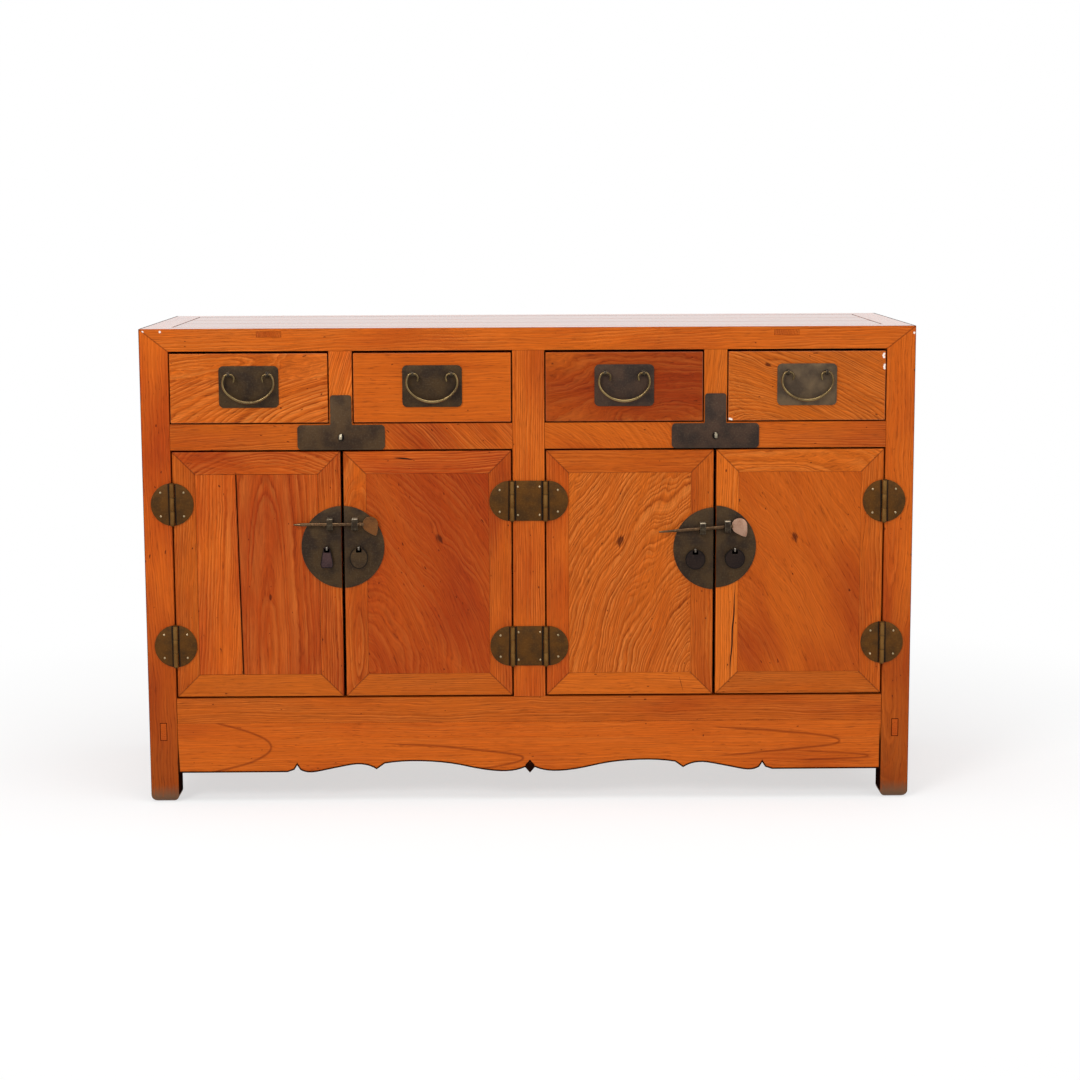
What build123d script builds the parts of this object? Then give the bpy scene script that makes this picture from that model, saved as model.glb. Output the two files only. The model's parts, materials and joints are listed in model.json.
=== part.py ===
from build123d import *
import math
import os

# Kang cabinet: a low cabinet of four drawers over two pairs of doors.
# Frame: +X to the right, +Y to the back, +Z up. The origin is on the floor, at the
# middle of the overall box, which takes in the metal fittings that stand proud in front.

# ---- Driving dimensions, millimetres ----

# Carcass
CASE_WIDTH = 1300.0
CASE_DEPTH = 450.0
CASE_HEIGHT = 810.0
LEG = 48.0  # square section of each leg
FOOT_ROUNDING = 4.0
TOP_RAIL_HEIGHT = 38.0
FRONT_MEMBER_DEPTH = 40.0  # front to back, of every rail and stile in the front
STILE_WIDTH = 54.0
DIVIDER_WIDTH = 39.0
DRAWER_OPENING_HEIGHT = 122.0
DRAWER_RAIL_HEIGHT = 44.0
BOTTOM_RAIL_LOW = 137.0
BOTTOM_RAIL_HEIGHT = 44.0
SIDE_MEMBER = 30.0  # thickness of side and back rails
SIDE_RAIL_LOW = 101.0
SIDE_RAIL_HEIGHT = 44.0
SIDE_TENON_WIDTH = 12.0
SIDE_TENON_SHOULDER = 6.5  # above and below the tenon
BACK_STILE_WIDTH = 50.0
PANEL_THICKNESS = 10.0
PANEL_INSET = 8.0  # from the outer face of the frame to the panel
PANEL_HOUSING = 6.0  # how deep each panel enters its frame
APRON_LOW = 50.0
APRON_THICKNESS = 22.0
SIDE_APRON_LOW = 61.0
TOP_PANEL_THICKNESS = 14.0
TOP_TONGUE = 7.0
TOP_TONGUE_THICKNESS = 5.0
TOP_TONGUE_DROP = 8.0  # from the top surface to the tongue
BATTEN_WIDTH = 42.0
BATTEN_HEIGHT = 28.0
BATTEN_DROP = 5.0  # from the top surface to the batten
BATTEN_TENON_HEIGHT = 10.0
BATTEN_OFFSET = 433.0  # centre of each batten from the middle
FLOOR_THICKNESS = 12.0
FLOOR_REBATE = 10.0
FLOOR_BOARDS = 5
FLOOR_BATTEN_WIDTH = 40.0
FLOOR_BATTEN_HEIGHT = 24.0
FLOOR_BATTEN_OFFSET = 400.0

# Outline of the front apron's lower edge, as distances from the middle and heights
# above APRON_LOW
BUD_HALF_WIDTH = 7.0
BUD_SHOULDER_RISE = 7.5
APRON_CENTRE_SWEEP = [(30, 1), (62, 1), (92, 5.5), (122, 12), (172, 18), (215, 18.5), (249, 15)]
APRON_CUSP = (263, 5)
APRON_OUTER_SWEEP = [(275, 11), (295, 14), (322, 10), (352, 4), (384, 1), (394, 5)]
APRON_NOTCH = (399, 13)
APRON_NOTCH_END = (404, 5)
APRON_FLAT_START = (416, 1)

# Drawers
DRAWER_SIDE_GAP = 2.0
DRAWER_LOW_GAP = 2.0
DRAWER_TOP_GAP = 4.0
DRAWER_FRONT_THICKNESS = 20.0
DRAWER_BACK_GAP = 30.0  # from the closed drawer to the back frame
DRAWER_BOX_DROP = 17.7  # from the top of the front to the top of the sides
DRAWER_BOARD = 10.0
DRAWER_BOTTOM = 6.0
DRAWER_BOTTOM_LIFT = 8.0
DRAWER_HOUSING = 4.0
RUNNER_CLEARANCE = 0.3
RUNNER_THICKNESS = 18.0
RUNNER_LEDGE = 26.0  # how far a runner reaches under a drawer
GUIDE_HEIGHT = 18.0

# Doors
DOOR_THICKNESS = 20.0
DOOR_FRAME_WIDTH = 38.0
DOOR_PANEL_THICKNESS = 12.0
DOOR_TONGUE = 6.0
DOOR_TONGUE_THICKNESS = 5.0
DOOR_TONGUE_SETBACK = 4.0
DOOR_HINGE_GAP = 2.5
DOOR_MEETING_GAP = 5.0
DOOR_END_GAP = 3.0  # above and below each door

# Hinges
HINGE_THICKNESS = 2.0
HINGE_RADIUS = 36.0
CENTRE_HINGE_WIDTH = 133.0
CENTRE_HINGE_HEIGHT = 68.0
OUTER_HINGE_INSET = 88.0  # hinge centres from the ends of the door
CENTRE_HINGE_INSET = 85.0
BARREL_RADIUS = 4.0
BARREL_OVERHANG = 1.5  # past the plate, at each end
BARREL_CLEARANCE = 0.4
HINGE_PIN_RADIUS = 1.9
HINGE_PIN_CLEARANCE = 0.1
HINGE_PIN_HEAD_RADIUS = 3.2
HINGE_PIN_HEAD_HEIGHT = 1.5
NAIL_RADIUS = 2.4
NAIL_TIP_RADIUS = 1.2
NAIL_HEIGHT = 1.2
OUTER_NAIL_OFFSET = (19.5, 20.0)
CENTRE_NAIL_OFFSET = (18.5, 24.0)
CENTRE_LEAF_NAIL_OFFSET = (49.0, 18.5)

# Lock plates, staples, tags and pins
LOCK_RADIUS = 70.0
LOCK_THICKNESS = 2.0
LOCK_RISES = (47.5, 47.5, 41.5, 44.5)  # centre of each half above its door's, doors 1 to 4
STAPLE_OFFSET = 21.0  # from the meeting line
STAPLE_RISES = (39.5, 39.5, 35.0, 35.0)  # above each lock centre
STAPLE_WIDTH = 9.5
STAPLE_HEIGHT = 21.0
STAPLE_REACH = 16.0  # from the door's face
PIN_STAND = 9.5  # pin axis from the door's face
PIN_RADIUS = 2.8
PIN_TIP_RADIUS = 1.5
PIN_TAPER = 60.0
PIN_CLEARANCE = 0.35
PIN_TIP_OFFSETS = (82.0, 95.0)  # left of the meeting line
PIN_SHOULDER_OFFSETS = (36.0, 30.0)  # right of the meeting line
PIN_HEAD_RADIUS = 14.0
PIN_HEAD_THICKNESS = 3.0
PIN_HEAD_TAIL = 20.0
TAG_OFFSETS = (27.0, 27.0, 33.0, 34.0)  # from the meeting line
TAG_DROPS = (3.0, 3.0, 4.0, 6.0)  # axle below each lock centre
TAG_THICKNESS = 2.4
TAG_STAND = 5.0  # axle from the plate's face
TAG_AXLE_RADIUS = 1.2
TAG_AXLE_CLEARANCE = 0.3
TAG_SLOT = 5.2
TAG_SLOT_DEPTH = 3.4
TAG_EYE_WIDTH = 3.2
TAG_EYE_RADIUS = 2.7
DISC_RADIUS = 17.0
DISC_HANG = 14.0  # axle above the disc's centre
OVAL_RADII = (15.5, 18.5)
OVAL_HANG = 15.0

# Plates over the drawer rail, each an upturned T
TEE_BAR_WIDTH = 147.0
TEE_BAR_HEIGHT = 42.0
TEE_STEM_WIDTH = 36.0
TEE_STEM_RISE = 48.0  # above the drawer rail
TEE_THICKNESS = 2.0
TEE_STUD_RADIUS = 4.5
TEE_STUD_HEIGHT = 3.0
PLATE_CORNER = 8.0

# Drawer pulls
PULL_PLATE_WIDTH = 100.0
PULL_PLATE_HEIGHT = 70.0
PULL_PLATE_THICKNESS = 2.0
PULL_PLATE_RISE = 2.5  # plate centre above the drawer front's centre
BAIL_RADIUS = 2.4
BAIL_STAND = 7.5  # bail axis from the plate's face
BAIL_AXIS_RISE = 21.0  # above the plate's centre
BAIL_POST_SPACING = 65.0
BAIL_EYE_RADIUS = 4.4
BAIL_EYE_WIDTH = 4.0
BAIL_CLEARANCE = 0.3
BAIL_EYE_RUN = 5.6  # straight stretch through each eye
BAIL_SHOULDER_RADIUS = 4.7
BAIL_SIDE_RADIUS = 24.0
BAIL_CURL_RADIUS = 6.5
BAIL_TURNS = (60.0, 70.0)  # degrees turned by the shoulder and the side
BAIL_CURL_TURN = 105.0
BAIL_CURL_TAIL = 5.0

# ---- Lines worked out from them ----

FITTINGS_REACH = max(
    STAPLE_REACH,
    LOCK_THICKNESS + TAG_STAND + TAG_EYE_RADIUS,
    PULL_PLATE_THICKNESS + BAIL_STAND + BAIL_EYE_RADIUS,
    2 * BARREL_RADIUS + BARREL_CLEARANCE,
)
FRONT = -(CASE_DEPTH - FITTINGS_REACH) / 2
BACK = FRONT + CASE_DEPTH
HALF_WIDTH = CASE_WIDTH / 2
LEG_INNER = HALF_WIDTH - LEG
SIDE_INNER = HALF_WIDTH - SIDE_MEMBER
MEMBER_BACK = FRONT + FRONT_MEMBER_DEPTH
LEG_BACK = FRONT + LEG
REAR_LEG_FRONT = BACK - LEG
BACK_INNER = BACK - SIDE_MEMBER
STILE_HALF = STILE_WIDTH / 2
BAY_CENTRE = (LEG_INNER + STILE_HALF) / 2
TOP_RAIL_LOW = CASE_HEIGHT - TOP_RAIL_HEIGHT
DRAWER_RAIL_TOP = TOP_RAIL_LOW - DRAWER_OPENING_HEIGHT
DRAWER_RAIL_LOW = DRAWER_RAIL_TOP - DRAWER_RAIL_HEIGHT
BOTTOM_RAIL_TOP = BOTTOM_RAIL_LOW + BOTTOM_RAIL_HEIGHT
SIDE_RAIL_TOP = SIDE_RAIL_LOW + SIDE_RAIL_HEIGHT
FLOOR_LOW = BOTTOM_RAIL_TOP - FLOOR_THICKNESS
DOOR_LOW = BOTTOM_RAIL_TOP + DOOR_END_GAP
DOOR_TOP = DRAWER_RAIL_LOW - DOOR_END_GAP
OUTER_HINGE_HEIGHTS = (DOOR_LOW + OUTER_HINGE_INSET, DOOR_TOP - OUTER_HINGE_INSET)
CENTRE_HINGE_HEIGHTS = (DOOR_LOW + CENTRE_HINGE_INSET, DOOR_TOP - CENTRE_HINGE_INSET)
LOCK_HEIGHTS = [(DOOR_LOW + DOOR_TOP) / 2 + rise for rise in LOCK_RISES]
DRAWER_OPENING = LEG_INNER - BAY_CENTRE - DIVIDER_WIDTH / 2
DRAWER_WIDTH = DRAWER_OPENING - 2 * DRAWER_SIDE_GAP
DRAWER_LOW = DRAWER_RAIL_TOP + DRAWER_LOW_GAP
DRAWER_TOP = TOP_RAIL_LOW - DRAWER_TOP_GAP
DRAWER_BOX_START = FRONT + DRAWER_FRONT_THICKNESS
DRAWER_BOX_END = BACK_INNER - DRAWER_BACK_GAP
OUTER_DRAWER_X = LEG_INNER - DRAWER_OPENING / 2
INNER_DRAWER_X = STILE_HALF + DRAWER_OPENING / 2
DRAWER_CENTRES = (-OUTER_DRAWER_X, -INNER_DRAWER_X, INNER_DRAWER_X, OUTER_DRAWER_X)
OUTER_HINGE_X = LEG_INNER - DOOR_HINGE_GAP / 2
CENTRE_HINGE_X = STILE_HALF + DOOR_HINGE_GAP / 2
BARREL_Y = FRONT - BARREL_RADIUS - BARREL_CLEARANCE
BARREL_EDGE = BARREL_RADIUS + BARREL_CLEARANCE  # from the barrel axis to each plate's edge

# Each door: x of its hinged edge's jamb, side that it lies on, hinge axis and heights
DOORS = (
    (-LEG_INNER, 1, -OUTER_HINGE_X, OUTER_HINGE_HEIGHTS),
    (-STILE_HALF, -1, -CENTRE_HINGE_X, CENTRE_HINGE_HEIGHTS),
    (STILE_HALF, 1, CENTRE_HINGE_X, CENTRE_HINGE_HEIGHTS),
    (LEG_INNER, -1, OUTER_HINGE_X, OUTER_HINGE_HEIGHTS),
)


# ---- Small shapes that repeat ----


def block(x0, x1, y0, y1, z0, z1):
    """A box between two corners."""
    centre = Pos((x0 + x1) / 2, (y0 + y1) / 2, (z0 + z1) / 2)
    return centre * Box(abs(x1 - x0), abs(y1 - y0), abs(z1 - z0))


def prism(points, reach):
    """A closed outline of points, extruded along the vector reach."""
    outline = Face(Wire.make_polygon(points, close=True))
    return extrude(outline, amount=Vector(*reach).length, dir=reach)


def rod(radius, length, x, y, z, axis):
    """A round rod centred on a point, along X, Y or Z."""
    turn = {"X": Rot(0, 90, 0), "Y": Rot(90, 0, 0), "Z": Rot(0, 0, 0)}[axis]
    return Pos(x, y, z) * turn * Cylinder(radius, length)


def face_plate(sketch, x, z, thickness):
    """A flat plate on the cabinet's front, its sketch drawn about the point x, z."""
    return extrude(Plane((x, FRONT, z), x_dir=(1, 0, 0), z_dir=(0, -1, 0)) * sketch, thickness)


def nail(x, z, thickness):
    """A small domed nail head on a plate of the given thickness."""
    head = Cone(NAIL_RADIUS, NAIL_TIP_RADIUS, NAIL_HEIGHT)
    return Pos(x, FRONT - thickness - NAIL_HEIGHT / 2, z) * Rot(90, 0, 0) * head


def save(node, *shapes):
    """Writes every solid of the given shapes to one STEP file."""
    solids = [solid for shape in shapes for solid in shape.solids()]
    export_step(Compound(children=solids), f"parts/{node}.step")


# ---- Carcass ----


def top_frame_rails():
    """Four mitred rails: each meets its neighbour at 45 degrees and the leg on a slope."""
    rails = []
    for outer, inner in ((FRONT, LEG_BACK), (BACK, REAR_LEG_FRONT)):
        elevation = prism(
            [
                (-HALF_WIDTH, outer, CASE_HEIGHT),
                (HALF_WIDTH, outer, CASE_HEIGHT),
                (LEG_INNER, outer, TOP_RAIL_LOW),
                (-LEG_INNER, outer, TOP_RAIL_LOW),
            ],
            (0, inner - outer, 0),
        )
        plan = prism(
            [
                (-HALF_WIDTH, outer, 0),
                (HALF_WIDTH, outer, 0),
                (LEG_INNER, inner, 0),
                (-LEG_INNER, inner, 0),
            ],
            (0, 0, CASE_HEIGHT),
        )
        rails.append(elevation & plan)
    for side in (-1, 1):
        elevation = prism(
            [
                (side * HALF_WIDTH, FRONT, CASE_HEIGHT),
                (side * HALF_WIDTH, BACK, CASE_HEIGHT),
                (side * HALF_WIDTH, REAR_LEG_FRONT, TOP_RAIL_LOW),
                (side * HALF_WIDTH, LEG_BACK, TOP_RAIL_LOW),
            ],
            (-side * LEG, 0, 0),
        )
        plan = prism(
            [
                (side * HALF_WIDTH, FRONT, 0),
                (side * HALF_WIDTH, BACK, 0),
                (side * LEG_INNER, REAR_LEG_FRONT, 0),
                (side * LEG_INNER, LEG_BACK, 0),
            ],
            (0, 0, CASE_HEIGHT),
        )
        rails.append(elevation & plan)
    return rails


def top_battens():
    """Two battens let into the top panel, tenoned right through the front and back rails."""
    top = CASE_HEIGHT - BATTEN_DROP
    battens = []
    for x in (-BATTEN_OFFSET, BATTEN_OFFSET):
        low, high = x - BATTEN_WIDTH / 2, x + BATTEN_WIDTH / 2
        body = block(low, high, LEG_BACK, REAR_LEG_FRONT, top - BATTEN_HEIGHT, top)
        battens.append(body + block(low, high, FRONT, BACK, top - BATTEN_TENON_HEIGHT, top))
    return battens


def top_panel_blank():
    """The floating top board with a tongue all round."""
    board = block(
        -LEG_INNER, LEG_INNER, LEG_BACK, REAR_LEG_FRONT, CASE_HEIGHT - TOP_PANEL_THICKNESS, CASE_HEIGHT
    )
    tongue_top = CASE_HEIGHT - TOP_TONGUE_DROP
    tongue = block(
        -LEG_INNER - TOP_TONGUE,
        LEG_INNER + TOP_TONGUE,
        LEG_BACK - TOP_TONGUE,
        REAR_LEG_FRONT + TOP_TONGUE,
        tongue_top - TOP_TONGUE_THICKNESS,
        tongue_top,
    )
    return board + tongue


def side_panels():
    """Upper and lower panels of both sides, housed in rails and legs."""
    panels = []
    for side in (-1, 1):
        outer = side * (HALF_WIDTH - PANEL_INSET)
        for low, high in ((SIDE_RAIL_TOP, DRAWER_RAIL_LOW), (DRAWER_RAIL_TOP, TOP_RAIL_LOW)):
            panels.append(
                block(
                    outer,
                    outer - side * PANEL_THICKNESS,
                    LEG_BACK - PANEL_HOUSING,
                    REAR_LEG_FRONT + PANEL_HOUSING,
                    low - PANEL_HOUSING,
                    high + PANEL_HOUSING,
                )
            )
    return panels


def back_panels():
    """Two lower and two upper panels of the back."""
    panels = []
    outer = BACK - PANEL_INSET
    for side in (-1, 1):
        for low, high in ((BOTTOM_RAIL_TOP, DRAWER_RAIL_LOW), (DRAWER_RAIL_TOP, TOP_RAIL_LOW)):
            panels.append(
                block(
                    side * (BACK_STILE_WIDTH / 2 - PANEL_HOUSING),
                    side * (LEG_INNER + PANEL_HOUSING),
                    outer - PANEL_THICKNESS,
                    outer,
                    low - PANEL_HOUSING,
                    high + PANEL_HOUSING,
                )
            )
    return panels


def side_rails():
    """Middle and bottom rails of both sides; the bottom ones are tenoned through the legs."""
    rails = []
    for side in (-1, 1):
        outer, inner = side * HALF_WIDTH, side * SIDE_INNER
        rails.append(block(outer, inner, LEG_BACK, REAR_LEG_FRONT, DRAWER_RAIL_LOW, DRAWER_RAIL_TOP))
        bottom = block(outer, inner, LEG_BACK, REAR_LEG_FRONT, SIDE_RAIL_LOW, SIDE_RAIL_TOP)
        tenon = block(
            inner,
            inner + side * SIDE_TENON_WIDTH,
            FRONT,
            BACK,
            SIDE_RAIL_LOW + SIDE_TENON_SHOULDER,
            SIDE_RAIL_TOP - SIDE_TENON_SHOULDER,
        )
        rails.append(bottom + tenon)
    return rails


def leg(side, outer_y, inner_y):
    """One leg, full height, rounded where it meets the floor."""
    post = block(side * HALF_WIDTH, side * LEG_INNER, outer_y, inner_y, 0, CASE_HEIGHT)
    return fillet(post.faces().sort_by(Axis.Z)[0].edges(), FOOT_ROUNDING)


def cut_all(shape, tools):
    """A shape less every tool."""
    for tool in tools:
        shape = shape - tool
    return shape


def back_frame():
    """Two rails and two short stiles that close the back."""
    members = []
    for low, high in ((BOTTOM_RAIL_LOW, BOTTOM_RAIL_TOP), (DRAWER_RAIL_LOW, DRAWER_RAIL_TOP)):
        members.append(block(-LEG_INNER, LEG_INNER, BACK_INNER, BACK, low, high))
    half = BACK_STILE_WIDTH / 2
    for low, high in ((BOTTOM_RAIL_TOP, DRAWER_RAIL_LOW), (DRAWER_RAIL_TOP, TOP_RAIL_LOW)):
        members.append(block(-half, half, BACK_INNER, BACK, low, high))
    return members


def floor_boards():
    """Boards side by side, in a rebate of the front and back rails, notched round the legs."""
    start, end = MEMBER_BACK - FLOOR_REBATE, BACK_INNER + FLOOR_REBATE
    width = (end - start) / FLOOR_BOARDS
    reach = HALF_WIDTH - PANEL_INSET - PANEL_THICKNESS - 2 * RUNNER_CLEARANCE
    legs = [
        block(side * HALF_WIDTH, side * LEG_INNER, y0, y1, 0, CASE_HEIGHT)
        for side in (-1, 1)
        for y0, y1 in ((FRONT, LEG_BACK), (REAR_LEG_FRONT, BACK))
    ]
    boards = []
    for index in range(FLOOR_BOARDS):
        y = start + index * width
        boards.append(cut_all(block(-reach, reach, y, y + width, FLOOR_LOW, BOTTOM_RAIL_TOP), legs))
    return boards


def apron():
    """The front apron with its carved lower edge, a bud at the middle and two cusps a side."""

    def at(side, point):
        return (side * point[0], FRONT, APRON_LOW + point[1])

    def half(side):
        shoulder = (BUD_HALF_WIDTH, BUD_SHOULDER_RISE)
        flat_end = (LEG_INNER, APRON_FLAT_START[1])
        return [
            Line(at(side, (0, 0)), at(side, shoulder)),
            Spline([at(side, p) for p in [shoulder, *APRON_CENTRE_SWEEP]]),
            Line(at(side, APRON_CENTRE_SWEEP[-1]), at(side, APRON_CUSP)),
            Spline([at(side, p) for p in [APRON_CUSP, *APRON_OUTER_SWEEP]]),
            Line(at(side, APRON_OUTER_SWEEP[-1]), at(side, APRON_NOTCH)),
            Line(at(side, APRON_NOTCH), at(side, APRON_NOTCH_END)),
            Line(at(side, APRON_NOTCH_END), at(side, APRON_FLAT_START)),
            Line(at(side, APRON_FLAT_START), at(side, flat_end)),
            Line(at(side, flat_end), (side * LEG_INNER, FRONT, BOTTOM_RAIL_LOW)),
        ]

    top = Line((-LEG_INNER, FRONT, BOTTOM_RAIL_LOW), (LEG_INNER, FRONT, BOTTOM_RAIL_LOW))
    outline = Wire([*half(-1), *half(1), top])
    return extrude(Face(outline), amount=APRON_THICKNESS, dir=(0, 1, 0))


def drawer_runners():
    """A runner under each drawer edge, with a guide that keeps the drawer straight."""
    low, high = DRAWER_RAIL_TOP - RUNNER_THICKNESS, DRAWER_RAIL_TOP
    pieces = []
    for side in (-1, 1):
        edge = side * LEG_INNER
        pieces.append(block(edge, edge - side * RUNNER_LEDGE, MEMBER_BACK, BACK_INNER, low, high))
        pieces.append(
            block(edge, side * SIDE_INNER, LEG_BACK, REAR_LEG_FRONT, low, high + GUIDE_HEIGHT)
        )
    for x, width in ((-BAY_CENTRE, DIVIDER_WIDTH), (0, STILE_WIDTH), (BAY_CENTRE, DIVIDER_WIDTH)):
        reach = width / 2 + RUNNER_LEDGE
        pieces.append(block(x - reach, x + reach, MEMBER_BACK, BACK_INNER, low, high))
        pieces.append(
            block(x - width / 2, x + width / 2, MEMBER_BACK, BACK_INNER, high, high + GUIDE_HEIGHT)
        )
    return pieces


def build_carcass():
    """Every fixed wooden piece."""
    battens = top_battens()
    panel = top_panel_blank()
    sides = side_panels()
    backs = back_panels()
    rails = side_rails()
    bottom_rail = block(-LEG_INNER, LEG_INNER, FRONT, MEMBER_BACK, BOTTOM_RAIL_LOW, BOTTOM_RAIL_TOP)
    floor = floor_boards()
    housed = [*sides, *backs]
    frame = top_frame_rails()
    legs = [
        [cut_all(leg(side, y0, y1), [*frame, *housed, *rails]) for side in (-1, 1)]
        for y0, y1 in ((FRONT, LEG_BACK), (BACK, REAR_LEG_FRONT))
    ]
    frame = [cut_all(rail, [panel, *battens, *housed]) for rail in frame]
    save("legs_front", *legs[0])
    save("legs_back", *legs[1])
    save("top_frame", *frame)
    save("top_panel", cut_all(panel, battens))
    save("top_battens", *battens)
    save("bottom_rail", cut_all(bottom_rail, floor))
    save("floor_boards", *floor)
    save("side_panels", *sides)
    save("side_rails", *[cut_all(rail, sides) for rail in rails])
    save("back_panels", *backs)
    save("back_frame", *[cut_all(member, [*backs, *floor]) for member in back_frame()])
    save(
        "middle_stile",
        block(-STILE_HALF, STILE_HALF, FRONT, MEMBER_BACK, BOTTOM_RAIL_TOP, TOP_RAIL_LOW),
    )
    half = DIVIDER_WIDTH / 2
    save(
        "drawer_dividers",
        *[
            block(x - half, x + half, FRONT, MEMBER_BACK, DRAWER_RAIL_TOP, TOP_RAIL_LOW)
            for x in (-BAY_CENTRE, BAY_CENTRE)
        ],
    )
    save(
        "drawer_rails",
        *[
            block(
                side * LEG_INNER,
                side * STILE_HALF,
                FRONT,
                MEMBER_BACK,
                DRAWER_RAIL_LOW,
                DRAWER_RAIL_TOP,
            )
            for side in (-1, 1)
        ],
    )
    save("front_apron", apron())
    save(
        "side_aprons",
        *[
            block(
                side * HALF_WIDTH,
                side * (HALF_WIDTH - APRON_THICKNESS),
                LEG_BACK,
                REAR_LEG_FRONT,
                SIDE_APRON_LOW,
                SIDE_RAIL_LOW,
            )
            for side in (-1, 1)
        ],
    )
    half = FLOOR_BATTEN_WIDTH / 2
    save(
        "floor_battens",
        *[
            block(
                x - half,
                x + half,
                MEMBER_BACK,
                BACK_INNER,
                FLOOR_LOW - FLOOR_BATTEN_HEIGHT,
                FLOOR_LOW,
            )
            for x in (-FLOOR_BATTEN_OFFSET, 0, FLOOR_BATTEN_OFFSET)
        ],
    )
    save("drawer_runners", *drawer_runners())


# ---- Hinges ----


def barrel(x, z, height, direction, moving):
    """The knuckles of one leaf, with the web that joins them to it; direction is its side."""
    third = (height - 4 * BARREL_CLEARANCE) / 3
    levels = (0,) if moving else (-(third + BARREL_CLEARANCE), third + BARREL_CLEARANCE)
    knuckles = [
        rod(BARREL_RADIUS, third, x, BARREL_Y, z + level, "Z")
        + block(
            x,
            x + direction * BARREL_EDGE,
            FRONT - HINGE_THICKNESS,
            FRONT,
            z + level - third / 2,
            z + level + third / 2,
        )
        for level in levels
    ]
    return knuckles


def bored(shape, x, z, height):
    """A leaf with the hole for its hinge pin."""
    return shape - rod(HINGE_PIN_RADIUS + HINGE_PIN_CLEARANCE, 2 * height, x, BARREL_Y, z, "Z")


def plate_between(plate, x0, x1):
    """The part of a hinge plate between two upright lines."""
    return plate & block(x0, x1, FRONT - HINGE_THICKNESS, FRONT, 0, CASE_HEIGHT)


def outer_hinge_plate(x, z):
    """The round plate of an outer hinge."""
    return face_plate(Circle(HINGE_RADIUS), x, z, HINGE_THICKNESS)


def centre_hinge_plate(z):
    """The long plate with round ends that carries two barrels."""
    return face_plate(SlotOverall(CENTRE_HINGE_WIDTH, CENTRE_HINGE_HEIGHT), 0, z, HINGE_THICKNESS)


def hinge_height(index):
    """Length of the barrel of one door's hinges."""
    plate = 2 * HINGE_RADIUS if index in (0, 3) else CENTRE_HINGE_HEIGHT
    return plate + 2 * BARREL_OVERHANG


def hinge_pin(x, z, height):
    """A hinge pin with a button head at each end."""
    pin = rod(HINGE_PIN_RADIUS, height, x, BARREL_Y, z, "Z")
    for end in (-1, 1):
        level = z + end * (height + HINGE_PIN_HEAD_HEIGHT) / 2
        pin += rod(HINGE_PIN_HEAD_RADIUS, HINGE_PIN_HEAD_HEIGHT, x, BARREL_Y, level, "Z")
    return pin


def build_fixed_hinges():
    """Hinge plates and pins that stay on the legs and the middle stile."""
    plates, pins = [], []
    for index, (_, side, axis_x, heights) in enumerate(DOORS):
        height = hinge_height(index)
        for z in heights:
            pins.append(hinge_pin(axis_x, z, height))
            if index not in (0, 3):
                continue
            plate = plate_between(
                outer_hinge_plate(axis_x, z),
                axis_x - side * BARREL_EDGE,
                axis_x - side * 2 * HINGE_RADIUS,
            )
            for knuckle in barrel(axis_x, z, height, -side, moving=False):
                plate += knuckle
            plates.append(bored(plate, axis_x, z, height))
            across, up = OUTER_NAIL_OFFSET
            plates += [nail(axis_x - side * across, z + e * up, HINGE_THICKNESS) for e in (-1, 1)]
    for z in CENTRE_HINGE_HEIGHTS:
        inner = CENTRE_HINGE_X - BARREL_EDGE
        plate = plate_between(centre_hinge_plate(z), -inner, inner)
        height = hinge_height(1)
        for side in (-1, 1):
            for knuckle in barrel(side * CENTRE_HINGE_X, z, height, -side, moving=False):
                plate += knuckle
            plate = bored(plate, side * CENTRE_HINGE_X, z, height)
        plates.append(plate)
        across, up = CENTRE_NAIL_OFFSET
        plates += [nail(s * across, z + e * up, HINGE_THICKNESS) for s in (-1, 1) for e in (-1, 1)]
    save("hinge_plates", *plates)
    save("hinge_pins", *pins)


def door_leaves(index):
    """The two hinge leaves on a door, each with its knuckle and nails."""
    _, side, axis_x, heights = DOORS[index]
    outer = index in (0, 3)
    height = hinge_height(index)
    pieces = []
    for z in heights:
        whole = outer_hinge_plate(axis_x, z) if outer else centre_hinge_plate(z)
        leaf = plate_between(whole, axis_x + side * BARREL_EDGE, axis_x + side * 2 * HINGE_RADIUS)
        for knuckle in barrel(axis_x, z, height, side, moving=True):
            leaf += knuckle
        pieces.append(bored(leaf, axis_x, z, height))
        if outer:
            across, up = axis_x + side * OUTER_NAIL_OFFSET[0], OUTER_NAIL_OFFSET[1]
        else:
            across, up = side * CENTRE_LEAF_NAIL_OFFSET[0], CENTRE_LEAF_NAIL_OFFSET[1]
        pieces += [nail(across, z + e * up, HINGE_THICKNESS) for e in (-1, 1)]
    return pieces


# ---- Doors ----


def door_edges(index):
    """Left and right edges of a door, and the x of the meeting line of its pair."""
    jamb, side, _, _ = DOORS[index]
    meeting = BAY_CENTRE if jamb > 0 else -BAY_CENTRE
    edges = (jamb + side * DOOR_HINGE_GAP, meeting - side * DOOR_MEETING_GAP / 2)
    return min(edges), max(edges), meeting


def door_panel(left, right):
    """The floating panel, flush with the frame in front, with a tongue all round."""
    inner = (left + DOOR_FRAME_WIDTH, right - DOOR_FRAME_WIDTH)
    low, high = DOOR_LOW + DOOR_FRAME_WIDTH, DOOR_TOP - DOOR_FRAME_WIDTH
    board = block(*inner, FRONT, FRONT + DOOR_PANEL_THICKNESS, low, high)
    start = FRONT + DOOR_TONGUE_SETBACK
    tongue = block(
        inner[0] - DOOR_TONGUE,
        inner[1] + DOOR_TONGUE,
        start,
        start + DOOR_TONGUE_THICKNESS,
        low - DOOR_TONGUE,
        high + DOOR_TONGUE,
    )
    return board + tongue


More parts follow.
